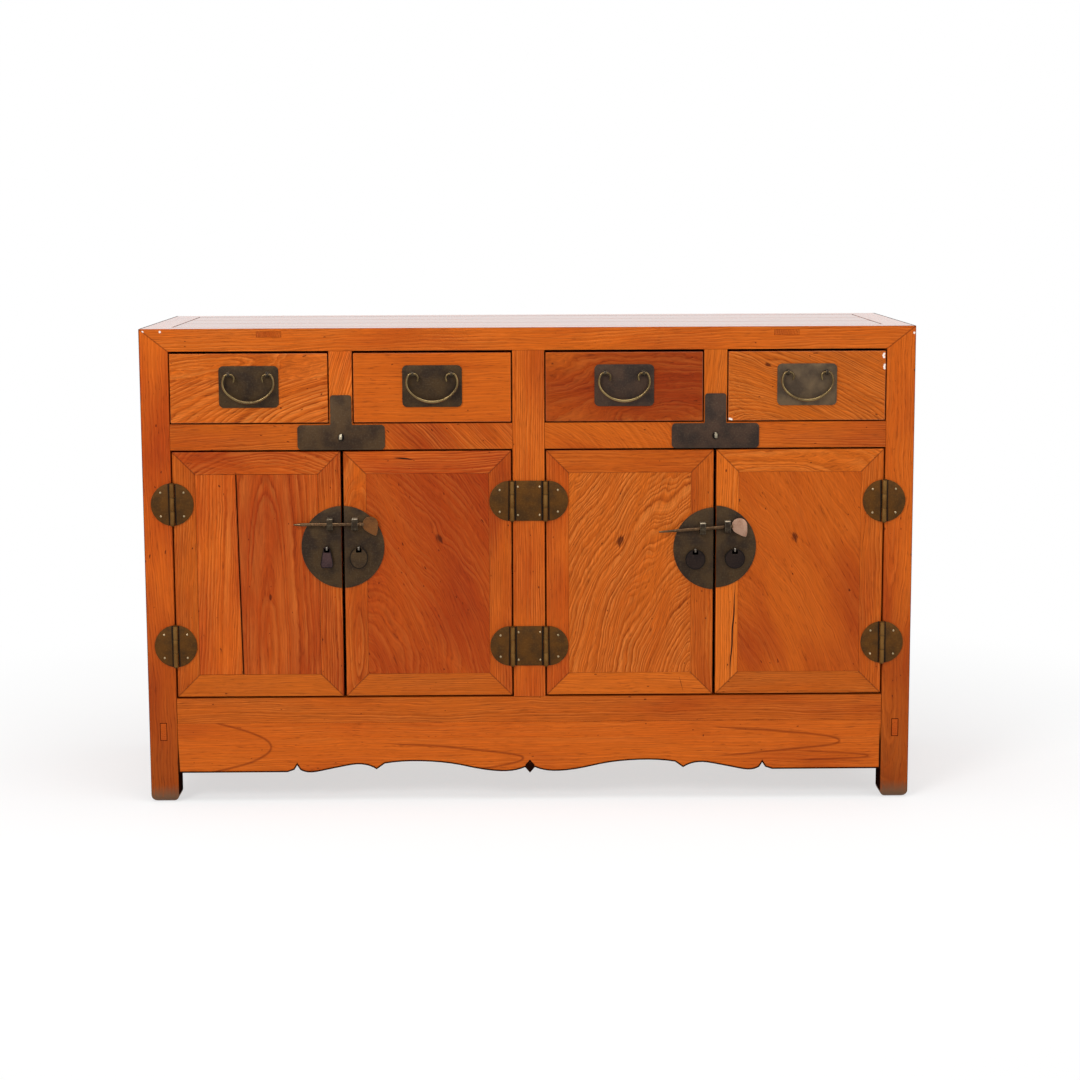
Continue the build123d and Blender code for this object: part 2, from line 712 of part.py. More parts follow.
def door_frame(left, right, panel):
    """Two stiles and two rails, mitred at the corners and grooved for the panel."""
    outer = [(left, DOOR_LOW), (right, DOOR_LOW), (right, DOOR_TOP), (left, DOOR_TOP)]
    width = DOOR_FRAME_WIDTH
    insets = [(width, width), (-width, width), (-width, -width), (width, -width)]
    inner = [(x + dx, z + dz) for (x, z), (dx, dz) in zip(outer, insets)]
    members = []
    for a in range(4):
        b = (a + 1) % 4
        corners = [(x, FRONT, z) for x, z in (outer[a], outer[b], inner[b], inner[a])]
        members.append(prism(corners, (0, DOOR_THICKNESS, 0)) - panel)
    return members


def staple_line(index):
    """Point and angle of the pin axis of a door's pair."""
    first = index - index % 2
    meeting = door_edges(first)[2]
    ends = [
        (meeting + end * STAPLE_OFFSET, LOCK_HEIGHTS[door] + STAPLE_RISES[door])
        for end, door in ((-1, first), (1, first + 1))
    ]
    slope = math.atan2(ends[1][1] - ends[0][1], ends[1][0] - ends[0][0])
    middle = (ends[0][1] + ends[1][1]) / 2
    return meeting, middle, slope


def pin_bore(index):
    """The round hole that a pair's pin runs in."""
    meeting, height, slope = staple_line(index)
    turn = Pos(meeting, FRONT - PIN_STAND, height) * Rot(0, -math.degrees(slope), 0)
    return turn * Rot(0, 90, 0) * Cylinder(PIN_RADIUS + PIN_CLEARANCE, 4 * LOCK_RADIUS)


def staple(x, z, index):
    """The staple that the pin passes through: a lug with a rounded nose."""
    nose = STAPLE_HEIGHT / 2
    root = STAPLE_REACH - nose
    lug = rod(nose, STAPLE_WIDTH, x, FRONT - root, z, "X")
    lug += block(
        x - STAPLE_WIDTH / 2, x + STAPLE_WIDTH / 2, FRONT - root, FRONT, z - nose, z + nose
    )
    lug = lug & block(
        x - STAPLE_WIDTH,
        x + STAPLE_WIDTH,
        FRONT - STAPLE_REACH,
        FRONT - LOCK_THICKNESS,
        z - nose,
        z + nose,
    )
    return lug - pin_bore(index)


def tag_eye(x, z):
    """The small eye that a tag hangs from."""
    y = FRONT - LOCK_THICKNESS - TAG_STAND
    eye = rod(TAG_EYE_RADIUS, TAG_EYE_WIDTH, x, y, z, "X")
    half = TAG_EYE_WIDTH / 2
    eye += block(
        x - half, x + half, y, FRONT - LOCK_THICKNESS, z - TAG_EYE_RADIUS, z + TAG_EYE_RADIUS
    )
    return eye - rod(TAG_AXLE_RADIUS + TAG_AXLE_CLEARANCE, 2 * TAG_EYE_WIDTH, x, y, z, "X")


def tag_point(index):
    """Where a door's tag hangs: x and z of its axle."""
    _, side, _, _ = DOORS[index]
    meeting = door_edges(index)[2]
    return meeting - side * TAG_OFFSETS[index], LOCK_HEIGHTS[index] - TAG_DROPS[index]


def tag_outline(index):
    """Door 1 has a bell-shaped tag, door 2 an oval one and doors 3 and 4 round ones."""
    if index == 0:
        half = [(5.0, 3.6), (8.5, -10.0), (11.0, -26.0), (9.0, -32.0)]
        return Polygon(*half, *[(-x, z) for x, z in reversed(half)], align=None)
    if index == 1:
        return Pos(0, -OVAL_HANG) * Ellipse(*OVAL_RADII)
    return Pos(0, -DISC_HANG) * Circle(DISC_RADIUS)


def tag(index):
    """A flat tag, slotted at the top round its eye, with an axle across the slot."""
    x, z = tag_point(index)
    y = FRONT - LOCK_THICKNESS - TAG_STAND
    slot = Pos(0, DISC_RADIUS - TAG_SLOT_DEPTH) * Rectangle(TAG_SLOT, 2 * DISC_RADIUS)
    plane = Plane((x, y - TAG_THICKNESS / 2, z), x_dir=(1, 0, 0), z_dir=(0, -1, 0))
    plate = extrude(plane * (tag_outline(index) - slot), TAG_THICKNESS, dir=(0, 1, 0))
    return plate + rod(TAG_AXLE_RADIUS, TAG_SLOT + 2 * TAG_AXLE_RADIUS, x, y, z, "X")


def lock_half(index):
    """One half of a round lock plate, with its staple and the eye of its tag."""
    left, right, meeting = door_edges(index)
    z = LOCK_HEIGHTS[index]
    disc = face_plate(Circle(LOCK_RADIUS), meeting, z, LOCK_THICKNESS)
    plate = disc & block(left, right, FRONT - LOCK_THICKNESS, FRONT, 0, CASE_HEIGHT)
    _, side, _, _ = DOORS[index]
    staple_x = meeting - side * STAPLE_OFFSET
    return [plate, staple(staple_x, z + STAPLE_RISES[index], index), tag_eye(*tag_point(index))]


def lock_pin(pair):
    """A tapered pin along a pair's staples, with a flat leaf-shaped head at its right end."""
    meeting, height, slope = staple_line(2 * pair)
    tip, shoulder = -PIN_TIP_OFFSETS[pair], PIN_SHOULDER_OFFSETS[pair]
    shaft_start = tip + PIN_TAPER
    taper = Cone(PIN_TIP_RADIUS, PIN_RADIUS, PIN_TAPER)
    pin = Pos(tip + PIN_TAPER / 2, 0, 0) * Rot(0, 90, 0) * taper
    pin += rod(PIN_RADIUS, shoulder - shaft_start, (shoulder + shaft_start) / 2, 0, 0, "X")
    centre = shoulder + PIN_HEAD_RADIUS - 2 * PIN_HEAD_THICKNESS / 3
    half = PIN_HEAD_RADIUS * math.cos(math.radians(45))
    tail = Polygon((half, half), (-half, -half), (PIN_HEAD_TAIL / 2, -PIN_HEAD_TAIL), align=None)
    head = Plane((centre, -PIN_HEAD_THICKNESS / 2, 0), x_dir=(1, 0, 0), z_dir=(0, -1, 0))
    outline = head * (Circle(PIN_HEAD_RADIUS) + tail)
    pin += extrude(outline, PIN_HEAD_THICKNESS, dir=(0, 1, 0))
    return Pos(meeting, FRONT - PIN_STAND, height) * Rot(0, -math.degrees(slope), 0) * pin


def build_doors():
    """The four doors with their fittings, and the two lock pins."""
    for index in range(len(DOORS)):
        number = index + 1
        left, right, _ = door_edges(index)
        panel = door_panel(left, right)
        save(f"door_{number}_frame", *door_frame(left, right, panel))
        save(f"door_{number}_panel", panel)
        save(f"door_{number}_hinges", *door_leaves(index))
        save(f"door_{number}_lock", *lock_half(index))
        save(f"door_{number}_tag", tag(index))
    save("lock_pin_left", lock_pin(0))
    save("lock_pin_right", lock_pin(1))


# ---- Drawers ----


def drawer_box(x):
    """Sides, back and bottom of a drawer, all between two corners of its front."""
    left, right = x - DRAWER_WIDTH / 2, x + DRAWER_WIDTH / 2
    start, end = DRAWER_BOX_START, DRAWER_BOX_END
    low, high = DRAWER_RAIL_TOP + RUNNER_CLEARANCE, DRAWER_TOP - DRAWER_BOX_DROP
    inner_left, inner_right = left + DRAWER_BOARD, right - DRAWER_BOARD
    bottom = block(
        inner_left - DRAWER_HOUSING,
        inner_right + DRAWER_HOUSING,
        start - DRAWER_HOUSING,
        end - DRAWER_BOARD + DRAWER_HOUSING,
        low + DRAWER_BOTTOM_LIFT,
        low + DRAWER_BOTTOM_LIFT + DRAWER_BOTTOM,
    )
    sides = [
        block(left, inner_left, start, end, low, high),
        block(inner_right, right, start, end, low, high),
        block(inner_left, inner_right, end - DRAWER_BOARD, end, low, high),
    ]
    return [board - bottom for board in sides], bottom


def bail_eye(x, z):
    """An eye that stands from the pull plate and holds one end of the bail."""
    y = FRONT - PULL_PLATE_THICKNESS - BAIL_STAND
    half = BAIL_EYE_WIDTH / 2
    eye = rod(BAIL_EYE_RADIUS, BAIL_EYE_WIDTH, x, y, z, "X")
    eye += block(
        x - half, x + half, y, FRONT - PULL_PLATE_THICKNESS, z - half, z + half
    )
    return eye - rod(BAIL_RADIUS + BAIL_CLEARANCE, 3 * BAIL_EYE_WIDTH, x, y, z, "X")


def bail_half(x, y, z, side):
    """Path of half a bail, from the curled end through its eye down to the middle."""

    def arc(line, radius, turn):
        # Outwards along +X a fall is a turn to the right, and mirrored on the other side.
        return JernArc(line @ 1, line % 1, radius, -side * turn)

    post = BAIL_POST_SPACING / 2
    run = BAIL_EYE_RUN / 2
    through = Line((side * (post - run), 0), (side * (post + run), 0))
    shoulder = arc(through, BAIL_SHOULDER_RADIUS, BAIL_TURNS[0])
    flank = arc(shoulder, BAIL_SIDE_RADIUS, BAIL_TURNS[1])
    belly_turn = 180 - sum(BAIL_TURNS)
    belly_radius = abs((flank @ 1).X) / math.sin(math.radians(belly_turn))
    belly = arc(flank, belly_radius, belly_turn)
    curl = JernArc(through @ 0, -(through % 0), BAIL_CURL_RADIUS, side * BAIL_CURL_TURN)
    tail = Line(curl @ 1, (curl @ 1) + (curl % 1) * BAIL_CURL_TAIL)
    plane = Plane((x, y, z), x_dir=(1, 0, 0), z_dir=(0, -1, 0))
    return [plane * edge for edge in (tail, curl, through, shoulder, flank, belly)]


def bail(x, z):
    """The bail of one drawer, a round wire bent in a plane, hanging down."""
    y = FRONT - PULL_PLATE_THICKNESS - BAIL_STAND
    halves = []
    for side in (-1, 1):
        path = Wire(bail_half(x, y, z, side))
        start = path @ 0 if (path @ 0).Z > (path @ 1).Z else path @ 1
        tangent = path % 0 if (path @ 0).Z > (path @ 1).Z else path % 1
        halves.append(sweep(Plane(start, z_dir=tangent) * Circle(BAIL_RADIUS), path))
    return halves[0] + halves[1]


def build_drawers():
    """The four drawers with their pulls."""
    for number, x in enumerate(DRAWER_CENTRES, 1):
        boards, bottom = drawer_box(x)
        half = DRAWER_WIDTH / 2
        front = block(
            x - half, x + half, FRONT, DRAWER_BOX_START, DRAWER_LOW, DRAWER_TOP
        )
        save(f"drawer_{number}_front", front - bottom)
        save(f"drawer_{number}_box", *boards, bottom)
        plate_z = (DRAWER_LOW + DRAWER_TOP) / 2 + PULL_PLATE_RISE
        outline = RectangleRounded(PULL_PLATE_WIDTH, PULL_PLATE_HEIGHT, PLATE_CORNER)
        axis_z = plate_z + BAIL_AXIS_RISE
        post = BAIL_POST_SPACING / 2
        save(
            f"drawer_{number}_pull",
            face_plate(outline, x, plate_z, PULL_PLATE_THICKNESS),
            bail_eye(x - post, axis_z),
            bail_eye(x + post, axis_z),
        )
        save(f"drawer_{number}_bail", bail(x, axis_z))


def build_tee_plates():
    """An upturned T plate over each joint of drawer rail and divider, with one domed stud."""
    pieces = []
    for x in (-BAY_CENTRE, BAY_CENTRE):
        middle = DRAWER_RAIL_LOW + TEE_BAR_HEIGHT / 2
        stem = DRAWER_RAIL_TOP + TEE_STEM_RISE - middle
        outline = RectangleRounded(TEE_BAR_WIDTH, TEE_BAR_HEIGHT, PLATE_CORNER)
        outline += Pos(0, stem / 2) * Rectangle(TEE_STEM_WIDTH, stem)
        pieces.append(face_plate(outline, x, middle, TEE_THICKNESS))
        stud = Cone(TEE_STUD_RADIUS, TEE_STUD_RADIUS / 2, TEE_STUD_HEIGHT)
        y = FRONT - TEE_THICKNESS - TEE_STUD_HEIGHT / 2
        pieces.append(Pos(x, y, middle) * Rot(90, 0, 0) * stud)
    save("tee_plates", *pieces)


os.makedirs("parts", exist_ok=True)
build_carcass()
build_fixed_hinges()
build_tee_plates()
build_doors()
build_drawers()
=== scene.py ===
"""Kang cabinet in orange elm with aged brass fittings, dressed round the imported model."""

import json
import logging
import math
import random
from collections.abc import Callable, Iterable, Mapping, Sequence
from dataclasses import dataclass, field, replace
from enum import Enum
from functools import partial

import bmesh
import bpy
from mathutils import Matrix, Vector


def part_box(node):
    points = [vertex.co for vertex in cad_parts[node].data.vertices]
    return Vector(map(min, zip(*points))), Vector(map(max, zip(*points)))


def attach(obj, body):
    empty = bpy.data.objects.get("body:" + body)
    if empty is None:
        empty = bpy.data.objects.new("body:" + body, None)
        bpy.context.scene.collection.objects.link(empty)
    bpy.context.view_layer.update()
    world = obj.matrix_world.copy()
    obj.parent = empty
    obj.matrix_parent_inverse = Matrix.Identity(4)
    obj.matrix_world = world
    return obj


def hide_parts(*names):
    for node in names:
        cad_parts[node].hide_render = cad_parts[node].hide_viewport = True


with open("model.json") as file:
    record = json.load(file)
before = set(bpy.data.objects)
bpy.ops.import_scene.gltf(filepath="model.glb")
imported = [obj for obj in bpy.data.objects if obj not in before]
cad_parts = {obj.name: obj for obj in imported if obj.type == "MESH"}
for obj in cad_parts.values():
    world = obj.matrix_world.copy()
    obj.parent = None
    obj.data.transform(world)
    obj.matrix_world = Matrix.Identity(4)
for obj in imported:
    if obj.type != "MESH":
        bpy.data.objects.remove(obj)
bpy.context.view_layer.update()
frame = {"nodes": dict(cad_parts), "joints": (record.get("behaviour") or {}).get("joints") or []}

LOG = logging.getLogger("kang_cabinet")
MM = 0.001
FRAME_SIDE = 1080  # pixels of the square picture that the camera is set for

Mesh = bmesh.types.BMesh
Node = bpy.types.Node
Point = tuple[float, float, float]
Plane = tuple[Point, Point]  # a point and a normal

HALVES = (("left", -1), ("right", 1))  # both sides of the middle: name, and sign of x
LEG_WIDTH = 48.0
SHRUNK = 0.25  # what a member has lost in width, beside the end of a tenon
SHEET = 2.0  # thickness of the brass plates


# ---- Colours and nodes ----


def srgb(code: str) -> tuple[float, float, float, float]:
    """Turns an sRGB hex value to linear light.

    Args:
        code: six hex digits after a hash.

    Returns:
        Linear red, green, blue and an alpha of 1.
    """
    parts = [int(code[i : i + 2], 16) / 255 for i in (1, 3, 5)]
    linear = [p / 12.92 if p <= 0.04045 else ((p + 0.055) / 1.055) ** 2.4 for p in parts]
    return (*linear, 1.0)


def add(tree: bpy.types.NodeTree, kind: str, links: dict | Sequence = (), **settings) -> Node:
    """Adds one node with its settings and links.

    Args:
        tree: the node tree that it joins.
        kind: node type, without the word ShaderNode.
        links: what feeds its inputs, in order or by name: a node, one of its sockets, or a value.
        settings: attributes of the node itself; stops are a colour ramp's places and grey levels.

    Returns:
        The new node.
    """
    node = tree.nodes.new(kind if kind.startswith("NodeGroup") else "ShaderNode" + kind)
    stops = settings.pop("stops", ())
    for key, value in settings.items():
        setattr(node, key, value)
    for index, (position, level) in enumerate(stops):
        elements = node.color_ramp.elements
        element = elements[index] if index < len(elements) else elements.new(position)
        element.position, element.color = position, (level, level, level, 1.0)
    if not isinstance(links, dict):
        links = dict(zip([socket.identifier for socket in node.inputs if socket.enabled], links))
    for key, value in links.items():
        into = next(socket for socket in node.inputs if key in (socket.identifier, socket.name))
        if isinstance(value, Node):
            value = next(socket for socket in value.outputs if socket.enabled)
        if isinstance(value, bpy.types.NodeSocket):
            tree.links.new(value, into)
        else:
            into.default_value = value
    return node


def blank_material(name: str) -> bpy.types.Material:
    """A material with an empty node tree."""
    material = bpy.data.materials.new(name)
    material.use_nodes = True
    material.node_tree.nodes.clear()
    return material


def laid(tree: bpy.types.NodeTree, colour: Node, layers: Iterable[tuple]) -> Node:
    """Lays tints over a colour, one over the other.

    Args:
        tree: the material's tree.
        colour: what lies below.
        layers: for each, its source, the source's values at which it begins and is full, how much
            it then covers, and its tint.

    Returns:
        The node that gives the colour.
    """
    for source, begins, full, most, tint in layers:
        cover = add(tree, "MapRange", (source, begins, full, 0.0, most))
        colour = add(tree, "Mix", (cover, colour, srgb(tint)), data_type="RGBA")
    return colour


def put(name: str, data: bpy.types.ID) -> bpy.types.Object:
    """Puts a new object with this data into the scene."""
    thing = bpy.data.objects.new(name, data)
    bpy.context.scene.collection.objects.link(thing)
    return thing


# ---- Boxes and grain ----


class Side(Enum):
    """The six faces of a board."""

    LEFT = (0, -1)
    RIGHT = (0, 1)
    FRONT = (1, -1)
    BACK = (1, 1)
    BOTTOM = (2, -1)
    TOP = (2, 1)


@dataclass(frozen=True)
class Box:
    """A box between two corners, in millimetres."""

    x0: float
    x1: float
    y0: float
    y1: float
    z0: float
    z1: float

    @classmethod
    def of(cls, node: str) -> "Box":
        """The box of a CAD node at rest."""
        low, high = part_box(node)
        return cls(*[round(v / MM, 4) for pair in zip(low, high) for v in pair])

    def centre(self) -> Vector:
        """The middle of the box."""
        return Vector(((self.x0 + self.x1) / 2, (self.y0 + self.y1) / 2, (self.z0 + self.z1) / 2))

    def size(self) -> Vector:
        """The three edges of the box."""
        return Vector((self.x1 - self.x0, self.y1 - self.y0, self.z1 - self.z0))

    def on(self, side: int) -> "Box":
        """This box of the right side, or its mirror image on the left."""
        return self if side > 0 else replace(self, x0=-self.x1, x1=-self.x0)


@dataclass(frozen=True)
class Figure:
    """How the growth rings of one board show on its face.

    The rings are shells round a pith that lies behind the face. A pith that leans through the
    board cuts the face in arches; one far to the side leaves straight, even lines.
    """

    ring: float = 5.0  # millimetres from ring to ring
    depth: float = 30.0  # from the face's pattern centre back to the pith
    lean: float = 0.02  # rise of the pith along the grain
    swirl: float = 0.6  # how far the rings wander
    turn: float = 0.0  # degrees that the grain is turned on the face, anticlockwise
    shift: tuple[float, float] = (0.0, 150.0)  # pattern centre along and across the board
    knot: tuple[float, float, float] = (0.0, 0.0, 0.0)  # along, across and radius, on the board
    crack: tuple[float, float, float, float] | None = None  # its two ends, along and across
    chips: tuple[Point, ...] = ()  # where small flakes have come off: along, across and in depth
    # Growth lines that stand out: each arch's tip along and across, how far back from the tip it
    # runs, and its half width there.
    arches: tuple[tuple[float, float, float, float], ...] = ()
    strength: float = 0.45  # darkness of the ring lines
    warmth: float = 0.5  # from 0, yellow orange, to 1, red brown
    light: float = 1.0  # brightness beside the other boards
    scuff: float = 0.0  # height of the grey, worn foot, millimetres

    def spot(self, along: float, across: float, into: float = 0.0) -> Point:
        """A place on the board, as the turned grain reads it from the pattern's centre."""
        off = Matrix.Rotation(math.radians(self.turn), 2) @ Vector(
            (along - self.shift[0], across - self.shift[1])
        )
        return (*off, into)


PLAIN = Figure()
SOFT = Figure(strength=0.3)


# ---- Wood ----


class ElmGrain:
    """The solid pattern of elm, as a node group that every board's material shares.

    It reads board coordinates in millimetres: along the grain, across it and into the board.
    """

    NAME = "elm_grain"
    INPUTS = {
        "Board": "Vector",
        "Seed": "Vector",
        "Ring": "Float",
        "Depth": "Float",
        "Lean": "Float",
        "Swirl": "Float",
        "Knot": "Vector",
        "Knot size": "Float",
    }
    OUTPUTS = ("Rings", "Pale", "Pores", "Drift", "Fibres", "Threads", "Pits", "Knot mark")
    # Slow wander of the whole tree, then the tighter waves that elm is known for: length along
    # and width across the grain, reach, and a shift of the seed.
    WANDERS = ((420, 110, 44, 3.1), (85, 32, 12, 11.7), (24, 13, 3.4, 23.9))

    def group(self) -> bpy.types.NodeTree:
        """The node group, made on first use."""
        return bpy.data.node_groups.get(self.NAME) or self._build()

    def _build(self) -> bpy.types.NodeTree:
        """Builds the group.

        Returns:
            A tree that gives ring darkness, pore darkness, slow tone drift and fibre height.
        """
        tree = bpy.data.node_groups.new(self.NAME, "ShaderNodeTree")
        for name, kind in self.INPUTS.items():
            tree.interface.new_socket(name=name, in_out="INPUT", socket_type="NodeSocket" + kind)
        for name in self.OUTPUTS:
            tree.interface.new_socket(name=name, in_out="OUTPUT", socket_type="NodeSocketFloat")
        node = partial(add, tree)
        given = node("NodeGroupInput").outputs
        place = self._wandered(tree, given)
        radius, steep, apart = self._shells(tree, given, place)

        noise = partial(self._noise, tree, given["Seed"])
        ripple = noise(place, 14, 2.6, 1.0, 31.3)

        # Rings of uneven width, each with one sharp dark edge that fades on its other side.
        far = node("Math", (radius, 26.0), operation="DIVIDE")
        uneven = node("TexNoise", {"W": far, "Scale": 1.0, "Detail": 1.0}, noise_dimensions="1D")
        count = node("Math", (radius, given["Ring"]), operation="DIVIDE")
        phase = node("Math", (uneven, 4.2, count), operation="MULTIPLY_ADD")
        phase = node("Math", (ripple, 0.22, phase), operation="MULTIPLY_ADD")
        share = node("Math", (phase,), operation="FRACT")
        dark = ((0.0, 0.9), (0.05, 0.7), (0.15, 0.25), (0.42, 0.06), (0.92, 0.0), (0.97, 0.5), (1.0, 0.9))
        pale = ((0.0, 0.0), (0.2, 0.1), (0.5, 0.45), (0.82, 1.0), (0.93, 0.5), (1.0, 0.0))
        patches = node("MapRange", (noise(place, 130, 24, 2.0, 41.1), 0.3, 0.68, 0.12, 1.15))
        shown = node("Math", (patches, steep), operation="MULTIPLY")
        edges = [node("ValToRGB", (share,), stops=stops) for stops in (dark, pale)]
        rings, pales = (node("Math", (edge, shown), operation="MULTIPLY") for edge in edges)

        # Threads of growth inside a ring, drawn 2.4 mm apart so that they show; real ones are finer.
        fine = node("Math", (radius, 2.4), operation="DIVIDE")
        threads = node("TexNoise", {"W": fine, "Scale": 1.0, "Detail": 2.0}, noise_dimensions="1D")

        # Pores are short dark dashes, thickest where a ring begins; pits are rare small holes.
        dashes = node("MapRange", (noise(place, 20, 1.7, 1.0, 53.7), 0.56, 0.74, 0.0, 1.0))
        crowd = node("MapRange", (share, 0.0, 0.6, 1.0, 0.3))
        there = node("Math", (given["Knot size"], 0.1), operation="GREATER_THAN")
        ragged = node("Math", (ripple, 1.5, apart), operation="MULTIPLY_ADD")
        knot = node("MapRange", (ragged, 1.35, 1.9, 1.0, 0.0))
        pits = noise(given["Board"], 9, 4.5, 0.0, 87.1)
        results = {
            "Rings": rings,
            "Pale": pales,
            "Pores": node("Math", (dashes, crowd), operation="MULTIPLY"),
            "Drift": noise(given["Board"], 240, 80, 2.0, 61.9),
            "Fibres": noise(place, 60, 1.9, 2.0, 71.3),
            "Threads": threads,
            "Pits": node("MapRange", (pits, 0.835, 0.86, 0.0, 1.0)),
            "Knot mark": node("Math", (knot, there), operation="MULTIPLY"),
        }
        node("NodeGroupOutput", results)
        return tree

    @staticmethod
    def _noise(
        tree: bpy.types.NodeTree,
        board_seed: bpy.types.NodeSocket,
        where: Node,
        along: float,
        across: float,
        detail: float,
        shift: float,
    ) -> Node:
        """Adds a noise whose cells are stretched along the grain.

        Args:
            tree: the group's tree.
            board_seed: where this board's patterns begin.
            where: the place that it reads, in millimetres.
            along: length of a cell.
            across: width of a cell.
            detail: octaves of finer noise.
            shift: what it adds to the board's seed.

        Returns:
            The noise.
        """
        node = partial(add, tree)
        seed = node("VectorMath", (board_seed, (shift,) * 3), operation="ADD")
        scale = (1 / along, 1 / across, 1 / across)
        cells = node("VectorMath", (where, scale, seed), operation="MULTIPLY_ADD")
        return node("TexNoise", {"Vector": cells, "Scale": 1.0, "Detail": detail})

    def _wandered(self, tree: bpy.types.NodeTree, given: Mapping) -> Node:
        """Moves a point as the tree's growth wandered.

        Args:
            tree: the group's tree.
            given: the group's inputs.

        Returns:
            The node that gives the moved point.
        """
        node = partial(add, tree)
        place = given["Board"]
        for along, across, reach, shift in self.WANDERS:
            wander = self._noise(tree, given["Seed"], given["Board"], along, across, 1.0, shift)
            links = (wander.outputs["Color"], (0.5, 0.5, 0.5))
            centred = node("VectorMath", links, operation="SUBTRACT")
            far = node("Math", (given["Swirl"], float(reach)), operation="MULTIPLY")
            scaled = node("VectorMath", {"Vector": centred, "Scale": far}, operation="SCALE")
            place = node("VectorMath", (place, scaled), operation="ADD")
        return place

    def _shells(self, tree: bpy.types.NodeTree, given: Mapping, place: Node) -> tuple:
        """Measures how far a point lies from the pith, and from the knot.

        Args:
            tree: the group's tree.
            given: the group's inputs.
            place: the point, moved as the tree wandered.

        Returns:
            Distance from the pith, how steeply the shells cut the face, and distance from the
            knot in knot radii.
        """
        node = partial(add, tree)
        along, across, into = node("SeparateXYZ", (place,)).outputs
        leaning = node("Math", (along, given["Lean"], given["Depth"]), operation="MULTIPLY_ADD")
        behind = node("Math", (into, leaning), operation="ADD")
        radial = node("CombineXYZ", (0.0, across, behind))
        radius = node("VectorMath", (radial,), operation="LENGTH")

        # Where the face runs level with the rings, their lines fade rather than spread.
        leant = node("Math", (behind, given["Lean"]), operation="MULTIPLY")
        level = node("VectorMath", (node("CombineXYZ", (leant, across, 0.0)),), operation="LENGTH")
        safe = node("Math", (radius, 0.1), operation="MAXIMUM")
        slant = node("Math", (level, safe), operation="DIVIDE")
        steep = node("MapRange", (slant, 0.05, 0.3, 0.12, 1.0))

        # A knot pushes the rings aside in closed eyes round it.
        from_knot = node("VectorMath", (given["Board"], given["Knot"]), operation="SUBTRACT")
        flat = node("VectorMath", (from_knot, (0.55, 1.0, 0.0)), operation="MULTIPLY")
        reach = node("VectorMath", (flat,), operation="LENGTH")
        size = node("Math", (given["Knot size"], 0.01), operation="MAXIMUM")
        apart = node("Math", (reach, size), operation="DIVIDE")
        square = node("Math", (apart, apart), operation="MULTIPLY")
        bulge = node("Math", (node("Math", (square, -0.09), operation="MULTIPLY"),), operation="EXPONENT")
        push = node("Math", (bulge, given["Knot size"]), operation="MULTIPLY")
        radius = node("Math", (push, 2.2, radius), operation="MULTIPLY_ADD")
        return radius, steep, apart


@dataclass(frozen=True)
class BoardTree:
    """The node tree of one board's material, with what its layers read."""

    tree: bpy.types.NodeTree
    figure: Figure
    out: Mapping  # outputs of the grain
    place: Node  # millimetres from the pattern's centre, along and across the grain
    high: bpy.types.NodeSocket  # height above the floor, in metres
    wear: bpy.types.NodeSocket  # the mesh's own mark of rubbed and grimy places, and of painted highlight and shade
